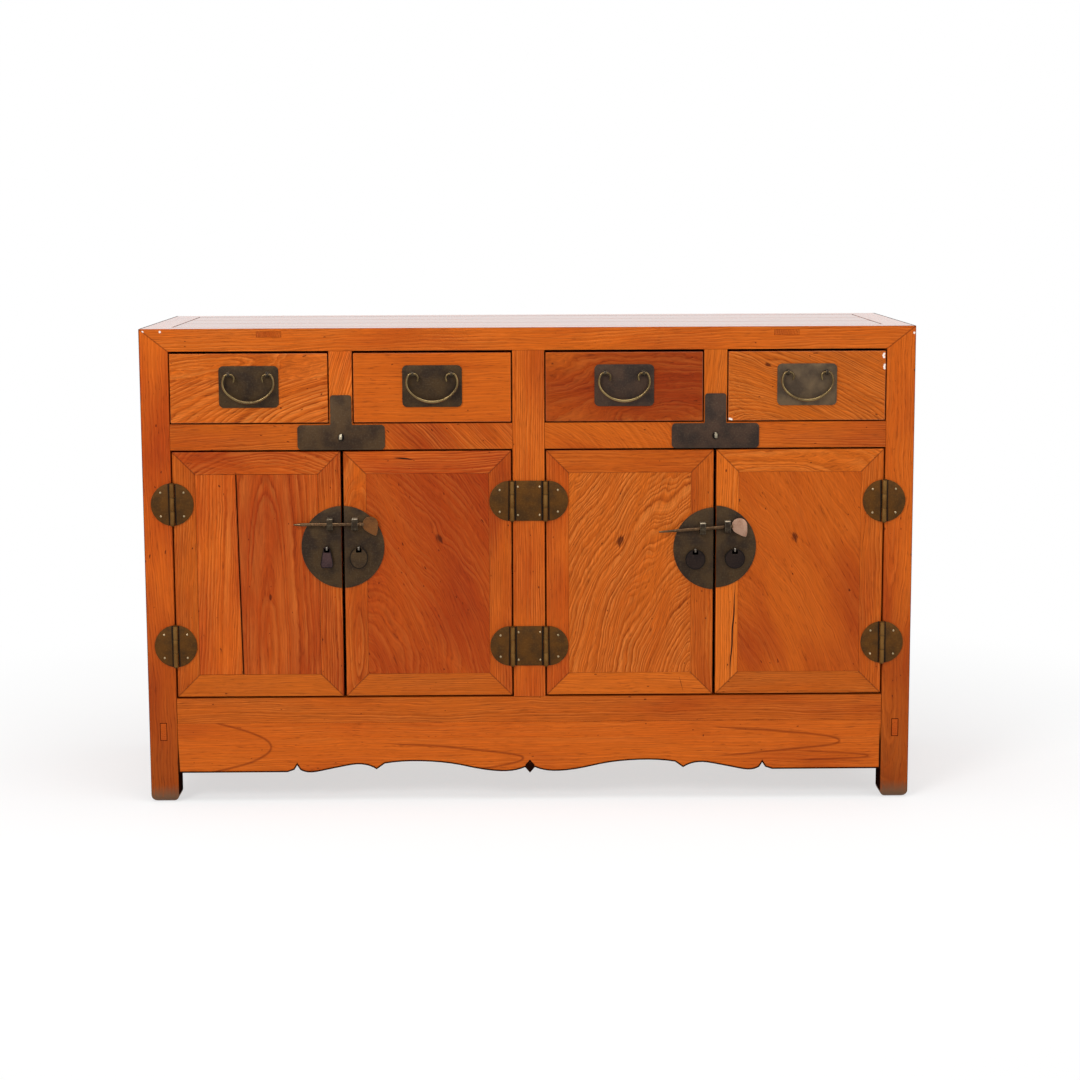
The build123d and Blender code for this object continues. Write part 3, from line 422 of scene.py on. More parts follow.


@dataclass(frozen=True)
class ElmFinish:
    """Elm, planed by hand, stained orange and rubbed with shellac.

    The eye sees warm orange with red-brown ring lines, a soft sheen rather than a gloss, and
    arrises rubbed pale by years of hands.
    """

    name: str = "elm_shellacked"
    light: str = "#C25F15"
    ground: str = "#B04B0C"
    red: str = "#903108"
    pale: str = "#D88038"
    line: str = "#692203"
    pore: str = "#4A1803"
    worn: str = "#D8AE92"
    chip: str = "#F2E8DE"
    foot: str = "#684E39"
    # Dark of grime, and of painted shade where the mesh is marked for it: under the aprons, along the apron's
    # carved edge, on the bud.
    grime_and_shade: str = "#1E0C06"
    roughness: float = 0.36
    gloss: float = 0.08  # specular level: most of the shellac on upright faces has worn off
    polish_from: float = 1e6  # height above which the shellac is whole and bright
    polish: float = 0.94
    dusty: float = 0.95  # roughness of grime and painted shade, which have no shine
    coat_roughness: float = 0.16
    relief: float = 0.06  # depth of the ring lines, millimetres

    def material(
        self, name: str, centre: Vector, grain: "Grain", figure: Figure, seams: Sequence[Plane] = ()
    ) -> bpy.types.Material:
        """The material of one board.

        Args:
            name: the board's name, which also seeds its pattern.
            centre: where the pattern's centre lies, in millimetres.
            grain: the way the grain runs.
            figure: how the rings show.
            seams: a point and a normal of each slanting joint, along which dirt has gathered.

        Returns:
            The new material.
        """
        material = blank_material(f"{self.name}_{name}")
        node = partial(add, material.node_tree)
        draw = random.Random(name)
        along, across, into = grain.axes(figure.turn)
        straight, sideways, _ = grain.axes(0.0)
        rotation = Matrix((along, across, into)).transposed().to_euler()
        middle = centre + straight * figure.shift[0] + sideways * figure.shift[1]
        coords = node("TexCoord").outputs["Object"]
        links = (coords, middle * MM, rotation, (MM, MM, MM))
        place = node("Mapping", links, vector_type="TEXTURE")
        given = {
            "Board": place,
            "Seed": [draw.uniform(0, 60) for _ in range(3)],
            "Ring": figure.ring,
            "Depth": figure.depth,
            "Lean": figure.lean,
            "Swirl": figure.swirl,
            "Knot": figure.spot(*figure.knot[:2]),
            "Knot size": figure.knot[2],
        }
        out = node("Group", given, node_tree=ElmGrain().group()).outputs
        high = node("SeparateXYZ", (coords,)).outputs[2]
        wear = node("Attribute", attribute_name="wear").outputs["Fac"]
        board = BoardTree(material.node_tree, figure, out, place, high, wear)
        colour = self._wood(board)
        for point, beyond in seams:
            towards = Vector(beyond).normalized()
            reach = node("VectorMath", (coords, towards), operation="DOT_PRODUCT")
            gap = node("Math", (towards.dot(Vector(point)) * MM, reach), operation="SUBTRACT")
            ragged = node("Math", (out["Threads"], 0.6 * MM, gap), operation="MULTIPLY_ADD")
            colour = laid(board.tree, colour, [(ragged, 1.7 * MM, 0.8 * MM, 0.55, self.pore)])
        colour = self._age(board, colour)
        # Marks below zero darken the wood: grime and dark joints, and painted shade where the mesh is marked
        # for it.
        dirt_and_shade = node("MapRange", (wear, -0.05, -0.45, 0.0, 1.0))
        colour = node("Mix", (dirt_and_shade, colour, srgb(self.grime_and_shade)), data_type="RGBA")

        rough = node("MapRange", (out["Rings"], 0.0, 1.0, self.roughness, self.roughness + 0.14))
        polish = node("MapRange", (high, self.polish_from * MM, self.polish_from * MM + MM, 0.0, self.polish))
        relief = node("Math", (out["Rings"], out["Pores"]), operation="ADD")
        links = {"Height": relief, "Strength": 1.0, "Distance": self.relief * MM}
        links = {
            "Base Color": colour,
            "Roughness": node("MapRange", (dirt_and_shade, 0.0, 1.0, rough, self.dusty)),
            "Specular IOR Level": node("MapRange", (dirt_and_shade, 0.0, 1.0, self.gloss, 0.0)),
            "Normal": node("Bump", links, invert=True),
            "Coat Weight": node("MapRange", (dirt_and_shade, 0.0, 1.0, polish, 0.0)),
            "Coat Roughness": self.coat_roughness,
        }
        node("OutputMaterial", (node("BsdfPrincipled", links),))
        return material

    def _wood(self, board: BoardTree) -> Node:
        """Lays the stained wood's colours: slow changes of tone, rings, pores, pits, knot and arches.

        Args:
            board: the board's tree.

        Returns:
            The node that gives the colour.
        """
        node, out, figure = partial(add, board.tree), board.out, board.figure
        spread = (max(0.0, figure.warmth - 0.22), min(1.0, figure.warmth + 0.22))
        tone = node("MapRange", (out["Drift"], 0.3, 0.7, *spread))
        layers = [
            (tone, 0.0, 1.0, 1.0, self.ground),
            (tone, 0.55, 1.0, 1.0, self.red),
            (out["Pale"], 0.0, 1.0, 0.65 * figure.strength, self.pale),
            (out["Rings"], 0.0, 1.0, 0.9 * figure.strength, self.line),
            (out["Pores"], 0.0, 1.0, 0.55, self.pore),
            (out["Pits"], 0.0, 1.0, 0.8, self.pore),
            (out["Knot mark"], 0.0, 1.0, 0.85, self.pore),
            *[(self._arch(board, arch), 2.8, 0.6, 0.6, self.line) for arch in figure.arches],
        ]
        colour = laid(board.tree, srgb(self.light), layers)
        reach = 0.07 + 0.2 * figure.strength
        links = (out["Fibres"], 0.3, 0.7, (1 - reach) * figure.light, (1 + reach) * figure.light)
        fibres = node("MapRange", links)
        threads = node("MapRange", (out["Threads"], 0.3, 0.7, 0.9, 1.1))
        shade = node("Math", (fibres, threads), operation="MULTIPLY")
        return node("Mix", (1.0, colour, shade), data_type="RGBA", blend_type="MULTIPLY")

    def _age(self, board: BoardTree, colour: Node) -> Node:
        """Lays what age has left: rubbed arrises, a crack, the scuffed foot, chips, dust on the top; and
        darkens a leg towards the floor.

        Args:
            board: the board's tree.
            colour: the colour of the sound wood.

        Returns:
            The node that gives the colour.
        """
        node, figure, high = partial(add, board.tree), board.figure, board.high
        broken = node("MapRange", (board.out["Drift"], 0.42, 0.66, 0.25, 0.9))
        bare = node("MapRange", (board.wear, 0.15, 1.0, 0.0, 1.0))
        rubbed = node("Math", (bare, broken), operation="MULTIPLY")
        layers = [(rubbed, 0.0, 1.0, 1.0, self.worn)]
        if figure.crack:
            layers.append((self._crack(board), 0.0, 0.35, 1.0, self.grime_and_shade))
        if figure.scuff:
            ragged = node("Math", (board.out["Fibres"], 0.02, high), operation="MULTIPLY_ADD")
            rise, full = 0.01 + figure.scuff * MM, 0.01 + 0.3 * figure.scuff * MM
            # A leg darkens from 0.4 m above the floor downwards.
            layers += [(high, 0.4, 0.02, 0.45, self.grime_and_shade), (ragged, rise, full, 0.92, self.foot)]
        for chip in figure.chips:
            away = node("VectorMath", (board.place, figure.spot(*chip)), operation="DISTANCE")
            layers.append((away, 2.3, 1.5, 0.9, self.chip))
        dusty = self.polish_from * MM
        layers.append((high, dusty, dusty + MM, 0.33, self.grime_and_shade))
        return laid(board.tree, colour, layers)

    @staticmethod
    def _arch(board: BoardTree, arch: Sequence[float]) -> Node:
        """Draws one growth line that stands out, as the arch that a leaning ring leaves on a board.

        Args:
            board: the board's tree.
            arch: its tip along and across, its length back from the tip, and its half width there.

        Returns:
            The node that gives a point's distance from the line, in millimetres, and more at its ends.
        """
        node, sway = partial(add, board.tree), 16.0
        tip, middle, _ = board.figure.spot(*arch[:2])
        length, half = arch[2:]
        along, across, _ = node("SeparateXYZ", (board.place,)).outputs
        swayed = node("Math", (board.out["Drift"], sway, across), operation="MULTIPLY_ADD")
        off = node("Math", (swayed, 1 / half, -(middle + sway / 2) / half), operation="MULTIPLY_ADD")
        back = node("Math", (along, -1 / length, tip / length), operation="MULTIPLY_ADD")
        square = node("Math", (off, off), operation="MULTIPLY")
        level = node("Math", (square, back), operation="SUBTRACT")
        # The distance is the level over its slope.
        slope = node("Math", (square, (2 / half) ** 2, length**-2), operation="MULTIPLY_ADD")
        slope = node("Math", (slope,), operation="SQRT")
        reach = node("Math", (level, slope), operation="DIVIDE")
        reach = node("Math", (reach,), operation="ABSOLUTE")
        ending = node("Math", (back, 0.8), operation="SUBTRACT", use_clamp=True)
        return node("Math", (ending, 9.0, reach), operation="MULTIPLY_ADD")

    @staticmethod
    def _crack(board: BoardTree) -> Node:
        """Draws a drying crack, open in its middle and closed at both ends.

        Args:
            board: the board's tree; its figure says where the crack's ends are.

        Returns:
            The node that gives how far inside the crack a point lies, in millimetres.
        """
        node, figure = partial(add, board.tree), board.figure
        first, last = (figure.spot(*figure.crack[i : i + 2]) for i in (0, 2))
        along, across, _ = node("SeparateXYZ", (board.place,)).outputs
        share = node("MapRange", (along, first[0], last[0], 0.0, 1.0))
        middle = node("MapRange", (along, first[0], last[0], first[1], last[1]))
        wave = node("Math", (node("Math", (along, 9.0), operation="DIVIDE"),), operation="SINE")
        swayed = node("Math", (wave, 0.5, across), operation="MULTIPLY_ADD")
        off = node("Math", (swayed, middle), operation="SUBTRACT")
        away = node("Math", (off,), operation="ABSOLUTE")
        rest = node("Math", (1.0, share), operation="SUBTRACT")
        width = node("Math", (node("Math", (share, rest), operation="MULTIPLY"), 6.0), operation="MULTIPLY")
        return node("Math", (width, away), operation="SUBTRACT")


class Grain(Enum):
    """Which way a board's grain runs, and the way into the board from its show face."""

    ACROSS_FRONT = ((1, 0, 0), (0, 1, 0))
    UP_FRONT = ((0, 0, 1), (0, 1, 0))
    ACROSS_TOP = ((1, 0, 0), (0, 0, -1))
    DEEP_TOP = ((0, 1, 0), (0, 0, -1))
    UP_SIDE = ((0, 0, 1), (1, 0, 0))
    DEEP_SIDE = ((0, 1, 0), (1, 0, 0))

    def axes(self, turn: float) -> tuple[Vector, Vector, Vector]:
        """The directions along the grain, across it and into the board.

        Args:
            turn: degrees that the grain is turned on the face, anticlockwise.

        Returns:
            Three unit vectors, right-handed.
        """
        along, into = (Vector(v) for v in self.value)
        along = Matrix.Rotation(math.radians(-turn), 3, into) @ along
        return along, into.cross(along), into


# ---- Metal ----


@dataclass(frozen=True)
class BrassFinish:
    """Brass left to darken: a patchy oxide skin, rubbed back where hands and edges touch.

    The eye sees a dull brown skin with cloudy patches, fine scratches and brighter rims. The
    thicker the skin, the less it mirrors, so a dark plate has a low metallic value.
    """

    name: str
    skin: str
    patch: str
    # Colour of rubbed brass, also laid as painted highlight where the mesh is marked for it: a staple's top,
    # a stud's glint, a hinge barrel.
    rubbed: str
    roughness: float = 0.42
    metallic: float = 1.0
    gloss: float = 0.25  # specular level of the skin, which is dull
    patch_mm: float = 22.0
    rubbed_share: float = 0.3
    # Dark of grime, and of painted shade where the mesh is marked for it: beside hinge barrels, round studs
    # and eyes, on the bail's curls.
    grime_and_shade: str = "#0E0A08"
    pitting: float = 0.06  # depth of the uneven surface, millimetres
    scratch_mm: float = 0.5

    def material(self) -> bpy.types.Material:
        """The finish's material, made on first use.

        Returns:
            The material that every piece of this finish shares.
        """
        found = bpy.data.materials.get(self.name)
        if found:
            return found
        material = blank_material(self.name)
        node = partial(add, material.node_tree)
        coords = node("TexCoord").outputs["Object"]
        noises = []
        for size, detail, stretch in (
            (self.patch_mm, 4.0, (1, 1, 1)), (3.0, 3.0, (1, 1, 1)), (self.scratch_mm, 1.0, (40, 40, 1))
        ):
            scale = [1 / (size * MM * s) for s in stretch]
            cells = node("Mapping", {"Vector": coords, "Scale": scale}, vector_type="POINT")
            noises.append(node("TexNoise", {"Vector": cells, "Scale": 1.0, "Detail": detail}))
        clouds, fine, scratches = noises
        wear = node("Attribute", attribute_name="wear").outputs["Fac"]
        broken = node("Math", (wear, node("MapRange", (clouds, 0.4, 0.6, 0.45, 1.1))), operation="MULTIPLY")
        layers = (
            (clouds, 0.4, 0.62, 1.0, self.patch),
            (fine, 0.5, 0.8, self.rubbed_share, self.rubbed),
            (scratches, 0.62, 0.78, self.rubbed_share, self.rubbed),
            (broken, 0.1, 1.0, 0.9, self.rubbed),
            (wear, -0.05, -0.6, 0.9, self.grime_and_shade),
        )
        colour = laid(material.node_tree, srgb(self.skin), layers)
        height = node("Math", (fine, 0.5, clouds), operation="MULTIPLY_ADD")
        bump = {"Height": height, "Strength": 1.0, "Distance": self.pitting * MM}
        links = {
            "Base Color": colour,
            "Metallic": self.metallic,
            "Specular IOR Level": self.gloss,
            "Roughness": node("MapRange", (clouds, 0.3, 0.7, self.roughness - 0.07, self.roughness + 0.1)),
            "Normal": node("Bump", bump),
        }
        node("OutputMaterial", (node("BsdfPrincipled", links),))
        return material


ELM = ElmFinish()
BARE_ELM = ElmFinish(
    name="elm_bare", light="#CF9C6A", ground="#BA8654", red="#A06C40", line="#6E4526", pore="#4A2C16",
    pale="#D6AC7A", worn="#CFA878", roughness=0.72,
)
TOP_ELM = replace(ELM, name="elm_shellacked_top", polish_from=808.8)
PLATE_BRASS = BrassFinish("brass_oxidised_dark", "#42311E", "#2E2219", "#70644E", 0.5, 0.4, 0.12, 30.0, 0.2)
GREY_BRASS = replace(PLATE_BRASS, name="brass_oxidised_grey", skin="#433228", patch="#312722")
PALE_BRASS = replace(PLATE_BRASS, name="brass_oxidised_pale", skin="#63513C", patch="#483B2F")
TEE_BRASS = replace(PLATE_BRASS, name="brass_oxidised_tee", skin="#4A3724", patch="#35271D")
HINGE_BRASS = BrassFinish(
    "brass_oxidised_brown", "#55340F", "#422A10", "#8A6430", 0.44, 0.5, 0.15, rubbed_share=0.2
)
BAIL_BRASS = BrassFinish(
    "brass_drawn_rubbed", "#7C6844", "#5E4C32", "#D8C79C", 0.22, patch_mm=40, rubbed_share=0.1, pitting=0.008
)
PIN_BRASS = BrassFinish("brass_turned_brown", "#553F2A", "#443222", "#A4835C", 0.3, 0.8)
NAIL_BRASS = BrassFinish("brass_nail_bright", "#A8906E", "#8A7858", "#E2D2B4", 0.3)
EYE_BRASS = BrassFinish("brass_eye_worn", "#352A1C", "#281E16", "#B4A890", 0.34, 0.7, rubbed_share=0.1)
# The light grey of a tag's eye is a painted highlight, its glint.
GLINT_BRASS = BrassFinish("brass_eye_bright", "#6E665C", "#544C44", "#B8B0A4", 0.28)
BELL_BRASS = BrassFinish("brass_tag_purple", "#43302F", "#322425", "#6E5856", 0.5, 0.4, 0.12)
DISC_BRASS = BrassFinish("brass_tag_black", "#241A16", "#1E1614", "#4C3C34", 0.5, 0.4, 0.12)
ROSE_BRASS = BrassFinish("brass_leaf_rose", "#A27E68", "#86604A", "#D0B49C", 0.36, 0.7)
RUST_BRASS = BrassFinish("brass_leaf_rust", "#6E4422", "#4C2E18", "#9A6A36", 0.42, 0.7)


# ---- Mesh work ----


def new_mesh() -> Mesh:
    """An empty bmesh in millimetres, with the mark of wear, grime and painted light and shade that the
    finishes read.
    """
    bm = bmesh.new()
    bm.verts.layers.float.new("wear")
    return bm


def ease(
    bm: Mesh, edges: Sequence[bmesh.types.BMEdge], width: float, mark: float = 0.0, segments: int = 2
) -> None:
    """Rounds some edges and marks the middle of each round: rubbed wear and painted highlight above zero,
    grime and painted shade below.

    Args:
        bm: the mesh, in millimetres.
        edges: what to round.
        width: how far the round reaches from each edge.
        mark: its value, above zero for rubbed wear and painted highlight, below zero for grime and painted
            shade.
        segments: faces across the round.
    """
    if not edges:
        return
    made = bmesh.ops.bevel(
        bm, geom=list(edges), offset=width, offset_type="OFFSET", affect="EDGES", segments=segments,
        profile=0.5, material=-1, clamp_overlap=True,
    )
    rounded = set(made["faces"])
    wear = bm.verts.layers.float["wear"]
    for vert in made["verts"]:
        if all(face in rounded for face in vert.link_faces):
            vert[wear] = mark


def mark(bm: Mesh, value: float, where: Callable[[Vector], bool] = bool) -> Mesh:
    """Sets the mark of wear, grime and painted light and shade on the points that pass a test.

    Args:
        bm: the mesh, in millimetres.
        value: above zero for rubbed wear and painted highlight, below zero for grime and painted shade.
        where: takes a point's place; any place passes if it is left out.

    Returns:
        The same mesh.
    """
    wear = bm.verts.layers.float["wear"]
    for vert in bm.verts:
        if where(vert.co):
            vert[wear] = value
    return bm


def dark_border(bm: Mesh, width: float, where: Callable[[Vector], bool] = bool) -> None:
    """Darkens the front face's border: painted shade along the apron's carved edge, a dark line round a
    tenon's end and round a tag.

    Args:
        bm: a closed mesh whose flat front looks along -Y.
        width: of the dark border.
        where: takes an edge point's place, and is true where the border is dark.
    """
    bmesh.ops.recalc_face_normals(bm, faces=bm.faces)
    front = [face for face in bm.faces if face.normal.y < -0.99]
    made = bmesh.ops.inset_region(bm, faces=front, thickness=width, use_even_offset=True, use_boundary=True)
    inner = {vert for face in front for vert in face.verts}
    wear = bm.verts.layers.float["wear"]
    for vert in {vert for face in made["faces"] for vert in face.verts} - inner:
        if where(vert.co):
            vert[wear] = -1.0


def split_at(
    bm: Mesh, point: Sequence[float], beyond: Sequence[float], clear: bool = False
) -> list[bmesh.types.BMEdge]:
    """Divides the faces of a mesh at a plane.

    Args:
        bm: the mesh.
        point: a point of the plane.
        beyond: the plane's normal.
        clear: True to drop what lies beyond the plane.

    Returns:
        The edges in the plane.
    """
    geometry = [*bm.verts, *bm.edges, *bm.faces]
    made = bmesh.ops.bisect_plane(
        bm, geom=geometry, plane_co=point, plane_no=beyond, clear_outer=clear, dist=1e-4
    )
    return [g for g in made["geom_cut"] if isinstance(g, bmesh.types.BMEdge)]


def darken_beyond(
    bm: Mesh,
    point: Sequence[float],
    beyond: Sequence[float],
    fade: float = 1.5,
    where: Callable[[Vector], bool] = bool,
) -> None:
    """Darkens what lies beyond a plane: painted shade on the legs' inner faces and beside hinge barrels, a
    dark border on the top.
        beyond: the plane's normal, towards what goes dark.
        fade: how far before the plane the dirt begins.
        where: takes a point's place, and is true where it may go dark.
    """
    away, start = Vector(beyond), Vector(point)
    for plane in (start, start - away * fade):
        split_at(bm, plane, away)
    mark(bm, -1.0, lambda co: away.dot(co - start) > -0.01 and where(co))


def sharp(bm: Mesh, degrees: float = 40.0) -> list[bmesh.types.BMEdge]:
    """The edges at which the surface turns by more than an angle."""
    limit = math.radians(degrees)
    return [e for e in bm.edges if len(e.link_faces) == 2 and e.calc_face_angle(0.0) > limit]


def cut_away(bm: Mesh, point: Sequence[float], beyond: Sequence[float]) -> None:
    """Cuts off what lies beyond a plane and closes the cut.

    Args:
        bm: a closed mesh.
        point: a point of the plane.
        beyond: the plane's normal, towards what goes.
    """
    bmesh.ops.holes_fill(bm, edges=split_at(bm, point, beyond, clear=True), sides=0)


def on_front(bm: Mesh, x: float, z: float, y: float) -> Mesh:
    """Stands a fitting that was made lying flat, its back at zero, against an upright face.

    Args:
        bm: the fitting: x to the right, y up, z towards the viewer.
        x: where its origin goes, to the right.
        z: where its origin goes, up.
        y: the face that it lies against.

    Returns:
        The same mesh, in place.
    """
    stand = Matrix.Translation((x, y, z)) @ Matrix.Rotation(math.radians(90), 4, "X")
    bmesh.ops.transform(bm, matrix=stand, verts=bm.verts)
    return bm


def merged(*meshes: Mesh) -> Mesh:
    """Several meshes as one.

    Args:
        meshes: each is freed.

    Returns:
        One mesh with the shells of all.
    """
    whole = new_mesh()
    for part in meshes:
        loose = bpy.data.meshes.new("part")
        part.to_mesh(loose)
        part.free()
        whole.from_mesh(loose)
        bpy.data.meshes.remove(loose)
    return whole


def show(
    bm: Mesh,
    name: str,
    body: str,
    slot: str,
    material: bpy.types.Material,
    nodes: Iterable[str] = (),
    smooth: float = 0.0,
) -> bpy.types.Object:
    """Makes a finished piece of a mesh in millimetres.

    Args:
        bm: the mesh, which is freed.
        name: the piece's name.
        body: the CAD body that it rides on.
        slot: not used.
        material: its material.
        nodes: the CAD nodes that it stands for.
        smooth: degrees up to which neighbouring faces shade as one, or zero for flat faces.

    Returns:
        The new object.
    """
    bmesh.ops.recalc_face_normals(bm, faces=bm.faces)
    bmesh.ops.scale(bm, vec=(MM, MM, MM), verts=bm.verts)
    if smooth:
        for face in bm.faces:
            face.smooth = True
        for edge in bm.edges:
            edge.smooth = edge.calc_face_angle(0.0) < math.radians(smooth)
    mesh = bpy.data.meshes.new(name)
    bm.to_mesh(mesh)
    bm.free()
    mesh.materials.append(material)
    piece = put(name, mesh)
    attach(piece, body)
    if nodes:
        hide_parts(*nodes)
    LOG.info("%s: %d faces on %s", name, len(mesh.polygons), body)
    return piece


@dataclass(frozen=True)
class Board:
    """One planed wooden member: its box, grain, cuts, and the sides on which its arrises show."""

    name: str
    box: Box
    grain: Grain
    figure: Figure = Figure()
    shows: frozenset[Side] = frozenset()
    cuts: tuple[Plane, ...] = ()
    worn: float = 1.2  # round of an arris between two shown sides
    joint: float = 0.35  # round of every other edge
    rubbed: float = 0.8  # mark of the arrises: rubbed above zero, painted dark below zero
    soiled: float = -1.0  # mark of the joints, which are dark
    foot: float = 0.0  # round of the lowest edges, if they stand on the floor
    finish: ElmFinish = ELM

    def mesh(self) -> Mesh:
        """Builds the board.

        Returns:
            A closed mesh in millimetres.
        """
        bm = new_mesh()
        bmesh.ops.create_cube(bm, size=1.0)
        bmesh.ops.scale(bm, vec=self.box.size(), verts=bm.verts)
        bmesh.ops.translate(bm, vec=self.box.centre(), verts=bm.verts)
        for point, beyond in self.cuts:
            cut_away(bm, point, beyond)
        if self.foot:
            ease(bm, [e for e in bm.edges if self._low(e, 0.01)], self.foot, segments=5)
        arrises = [edge for edge in bm.edges if self._shown(edge)]
        low = self.foot + 0.1
        joints = [edge for edge in bm.edges if edge not in arrises and not self._low(edge, low)]
        ease(bm, arrises, self.worn, mark=self.rubbed, segments=3)
        joints = [edge for edge in joints if edge.is_valid and edge.calc_face_angle(0.0) > 0.6]
        ease(bm, joints, self.joint, mark=self.soiled)
        return bm

    def _low(self, edge: bmesh.types.BMEdge, height: float) -> bool:
        """True if a board that stands on the floor has this edge within a height of its foot."""
        return self.foot > 0 and all(vert.co.z < self.box.z0 + height for vert in edge.verts)

    def _shown(self, edge: bmesh.types.BMEdge) -> bool:
        """True if the edge lies between two sides that show."""
        box = self.box
        planes = dict(zip(Side, (box.x0, box.x1, box.y0, box.y1, box.z0, box.z1)))
        touched = {
            side
            for side, level in planes.items()
            if all(abs(vert.co[side.value[0]] - level) < 1e-3 for vert in edge.verts)
        }
        return len(touched & self.shows) >= 2

    def place(self, body: str, slot: str, *nodes: str) -> bpy.types.Object:
        """Builds and dresses the board.

        Args:
            body: the CAD body that it rides on.
            slot: the record's material slot.
            nodes: the CAD nodes that it stands for.

        Returns:
            The finished piece.
        """
        return show(self.mesh(), self.name, body, slot, self.material(), nodes)

    def material(self) -> bpy.types.Material:
        """The board's own material."""
        return self.finish.material(self.name, self.box.centre(), self.grain, self.figure, self.cuts)


# ---- The case ----

CASE = "carcass"
OUTER = frozenset({Side.FRONT, Side.LEFT, Side.RIGHT, Side.BACK, Side.TOP})


@dataclass(frozen=True)
class TopFrame:
    """The mitred frame of the top, its board, the battens and the ends of their tenons."""

    rail: Box = field(default_factory=lambda: Box.of("top_frame"))
    panel: Box = field(default_factory=lambda: Box.of("top_panel"))
    leg_width: float = LEG_WIDTH
    tongue: float = 7.0
    batten_width: float = 42.0
    tenon: float = 10.0
    proud: float = SHRUNK  # of a tenon's end
    boards: int = 3
    groove: float = 2.4  # width of the dark line beside the frame
    edge: float = 2.2  # width of the dark outer edge of the side rails
    figure: Figure = Figure(ring=4.5, shift=(0, 130), lean=0.05, turn=1.5, warmth=0.45, light=1.02)
    chips: tuple[Point, ...] = ((-643, -14, -24), (-614, -14, -24))  # on the front rail

    def build(self) -> None:
        """Makes every piece of the top."""
        self._rails()
        self._panel()
        self._battens()

    def _rails(self) -> None:
        """Four rails, each cut to its neighbours in plan and to the legs in elevation."""
        box, w = self.rail, self.leg_width
        height, top = box.z1 - box.z0, box.z1 - 0.1
        for name, outer, inward, own in (
            ("front", box.y0, 1, replace(box, y1=box.y0 + w)),
            ("back", box.y1, -1, replace(box, y0=box.y1 - w, y1=box.y1 - self.proud)),
        ):
            cuts = []
            for side in (-1, 1):
                corner = (side * box.x1, outer, box.z1)
                cuts += [(corner, (side * height, 0, -w)), (corner, (side, inward, 0))]
            figure = replace(self.figure, chips=self.chips) if inward > 0 else self.figure
            rail = Board(
                f"top_rail_{name}", own, Grain.ACROSS_FRONT, figure, OUTER, tuple(cuts), rubbed=-0.2,
                finish=TOP_ELM,
            )
            rail.place(CASE, "elm", "top_frame")
        for name, side in HALVES:
            own = replace(box, x0=box.x1 - w).on(side)
            cuts = []
            for end, y in ((-1, box.y0), (1, box.y1)):
                corner = (side * box.x1, y, box.z1)
                cuts += [(corner, (0, end * height, -w)), (corner, (-side, end, 0))]
            rail = Board(
                f"top_rail_{name}", own, Grain.DEEP_SIDE, PLAIN, OUTER, tuple(cuts), rubbed=-0.5,
                finish=TOP_ELM,
            )
            bm = rail.mesh()
            edge = (side * (box.x1 - self.edge), 0, 0)
            darken_beyond(bm, edge, (side, 0, 0), 2.0, lambda co: co.z > top)
            show(bm, rail.name, CASE, "elm", rail.material(), ["top_frame"])

    def _panel(self) -> None:
        """Boards glued edge to edge, seen inside the frame."""
        t = self.tongue
        whole = replace(
            self.panel,
            x0=self.panel.x0 + t,
            x1=self.panel.x1 - t,
            y0=self.panel.y0 + t,
            y1=self.panel.y1 - t,
        )
        width = (whole.y1 - whole.y0) / self.boards
        for index in range(self.boards):
            y0 = whole.y0 + index * width
            board = Board(
                f"top_board_{index + 1}",
                replace(whole, y0=y0, y1=y0 + width),
                Grain.ACROSS_TOP,
                Figure(ring=8, depth=20 + 20 * index, lean=0.05, swirl=0.9, shift=(120, 20), light=0.8),
                joint=2.0,
                finish=TOP_ELM,
            )
            # The boards are painted dark where they meet the frame at the ends and the back, not between
            # them.
            bm = mark(board.mesh(), 0.0)
            for side in (-1, 1):
                darken_beyond(bm, (side * (whole.x1 - self.groove), 0, 0), (side, 0, 0))
            if index == self.boards - 1:
                darken_beyond(bm, (0, whole.y1 - self.groove * 2, 0), (0, 1, 0))
            show(bm, board.name, CASE, "elm", board.material(), ["top_panel"])

    def _battens(self) -> None:
        """Battens under the boards, and the ends of their tenons in the front and back rails."""
        box = Box.of("top_battens")
        w = self.leg_width
        for name, side in HALVES:
            x = side * (box.x1 - self.batten_width / 2)
            across = replace(box, x0=x - self.batten_width / 2, x1=x + self.batten_width / 2)
            Board(
                f"top_batten_{name}",
                replace(across, y0=box.y0 + w, y1=box.y1 - w, z1=self.panel.z0),
                Grain.DEEP_TOP,
                finish=BARE_ELM,
            ).place(CASE, "elm_bare", "top_battens")
            for end, y0, y1 in (("front", box.y0 - self.proud, box.y0 + w), ("back", box.y1 - w, box.y1)):
                Board(
                    f"top_tenon_{end}_{name}",
                    replace(across, y0=y0, y1=y1, z0=box.z1 - self.tenon),
                    Grain.DEEP_TOP,
                    Figure(ring=3, warmth=0.75, light=0.9, strength=0.4),
                    joint=0.5,
                ).place(CASE, "elm", "top_battens")


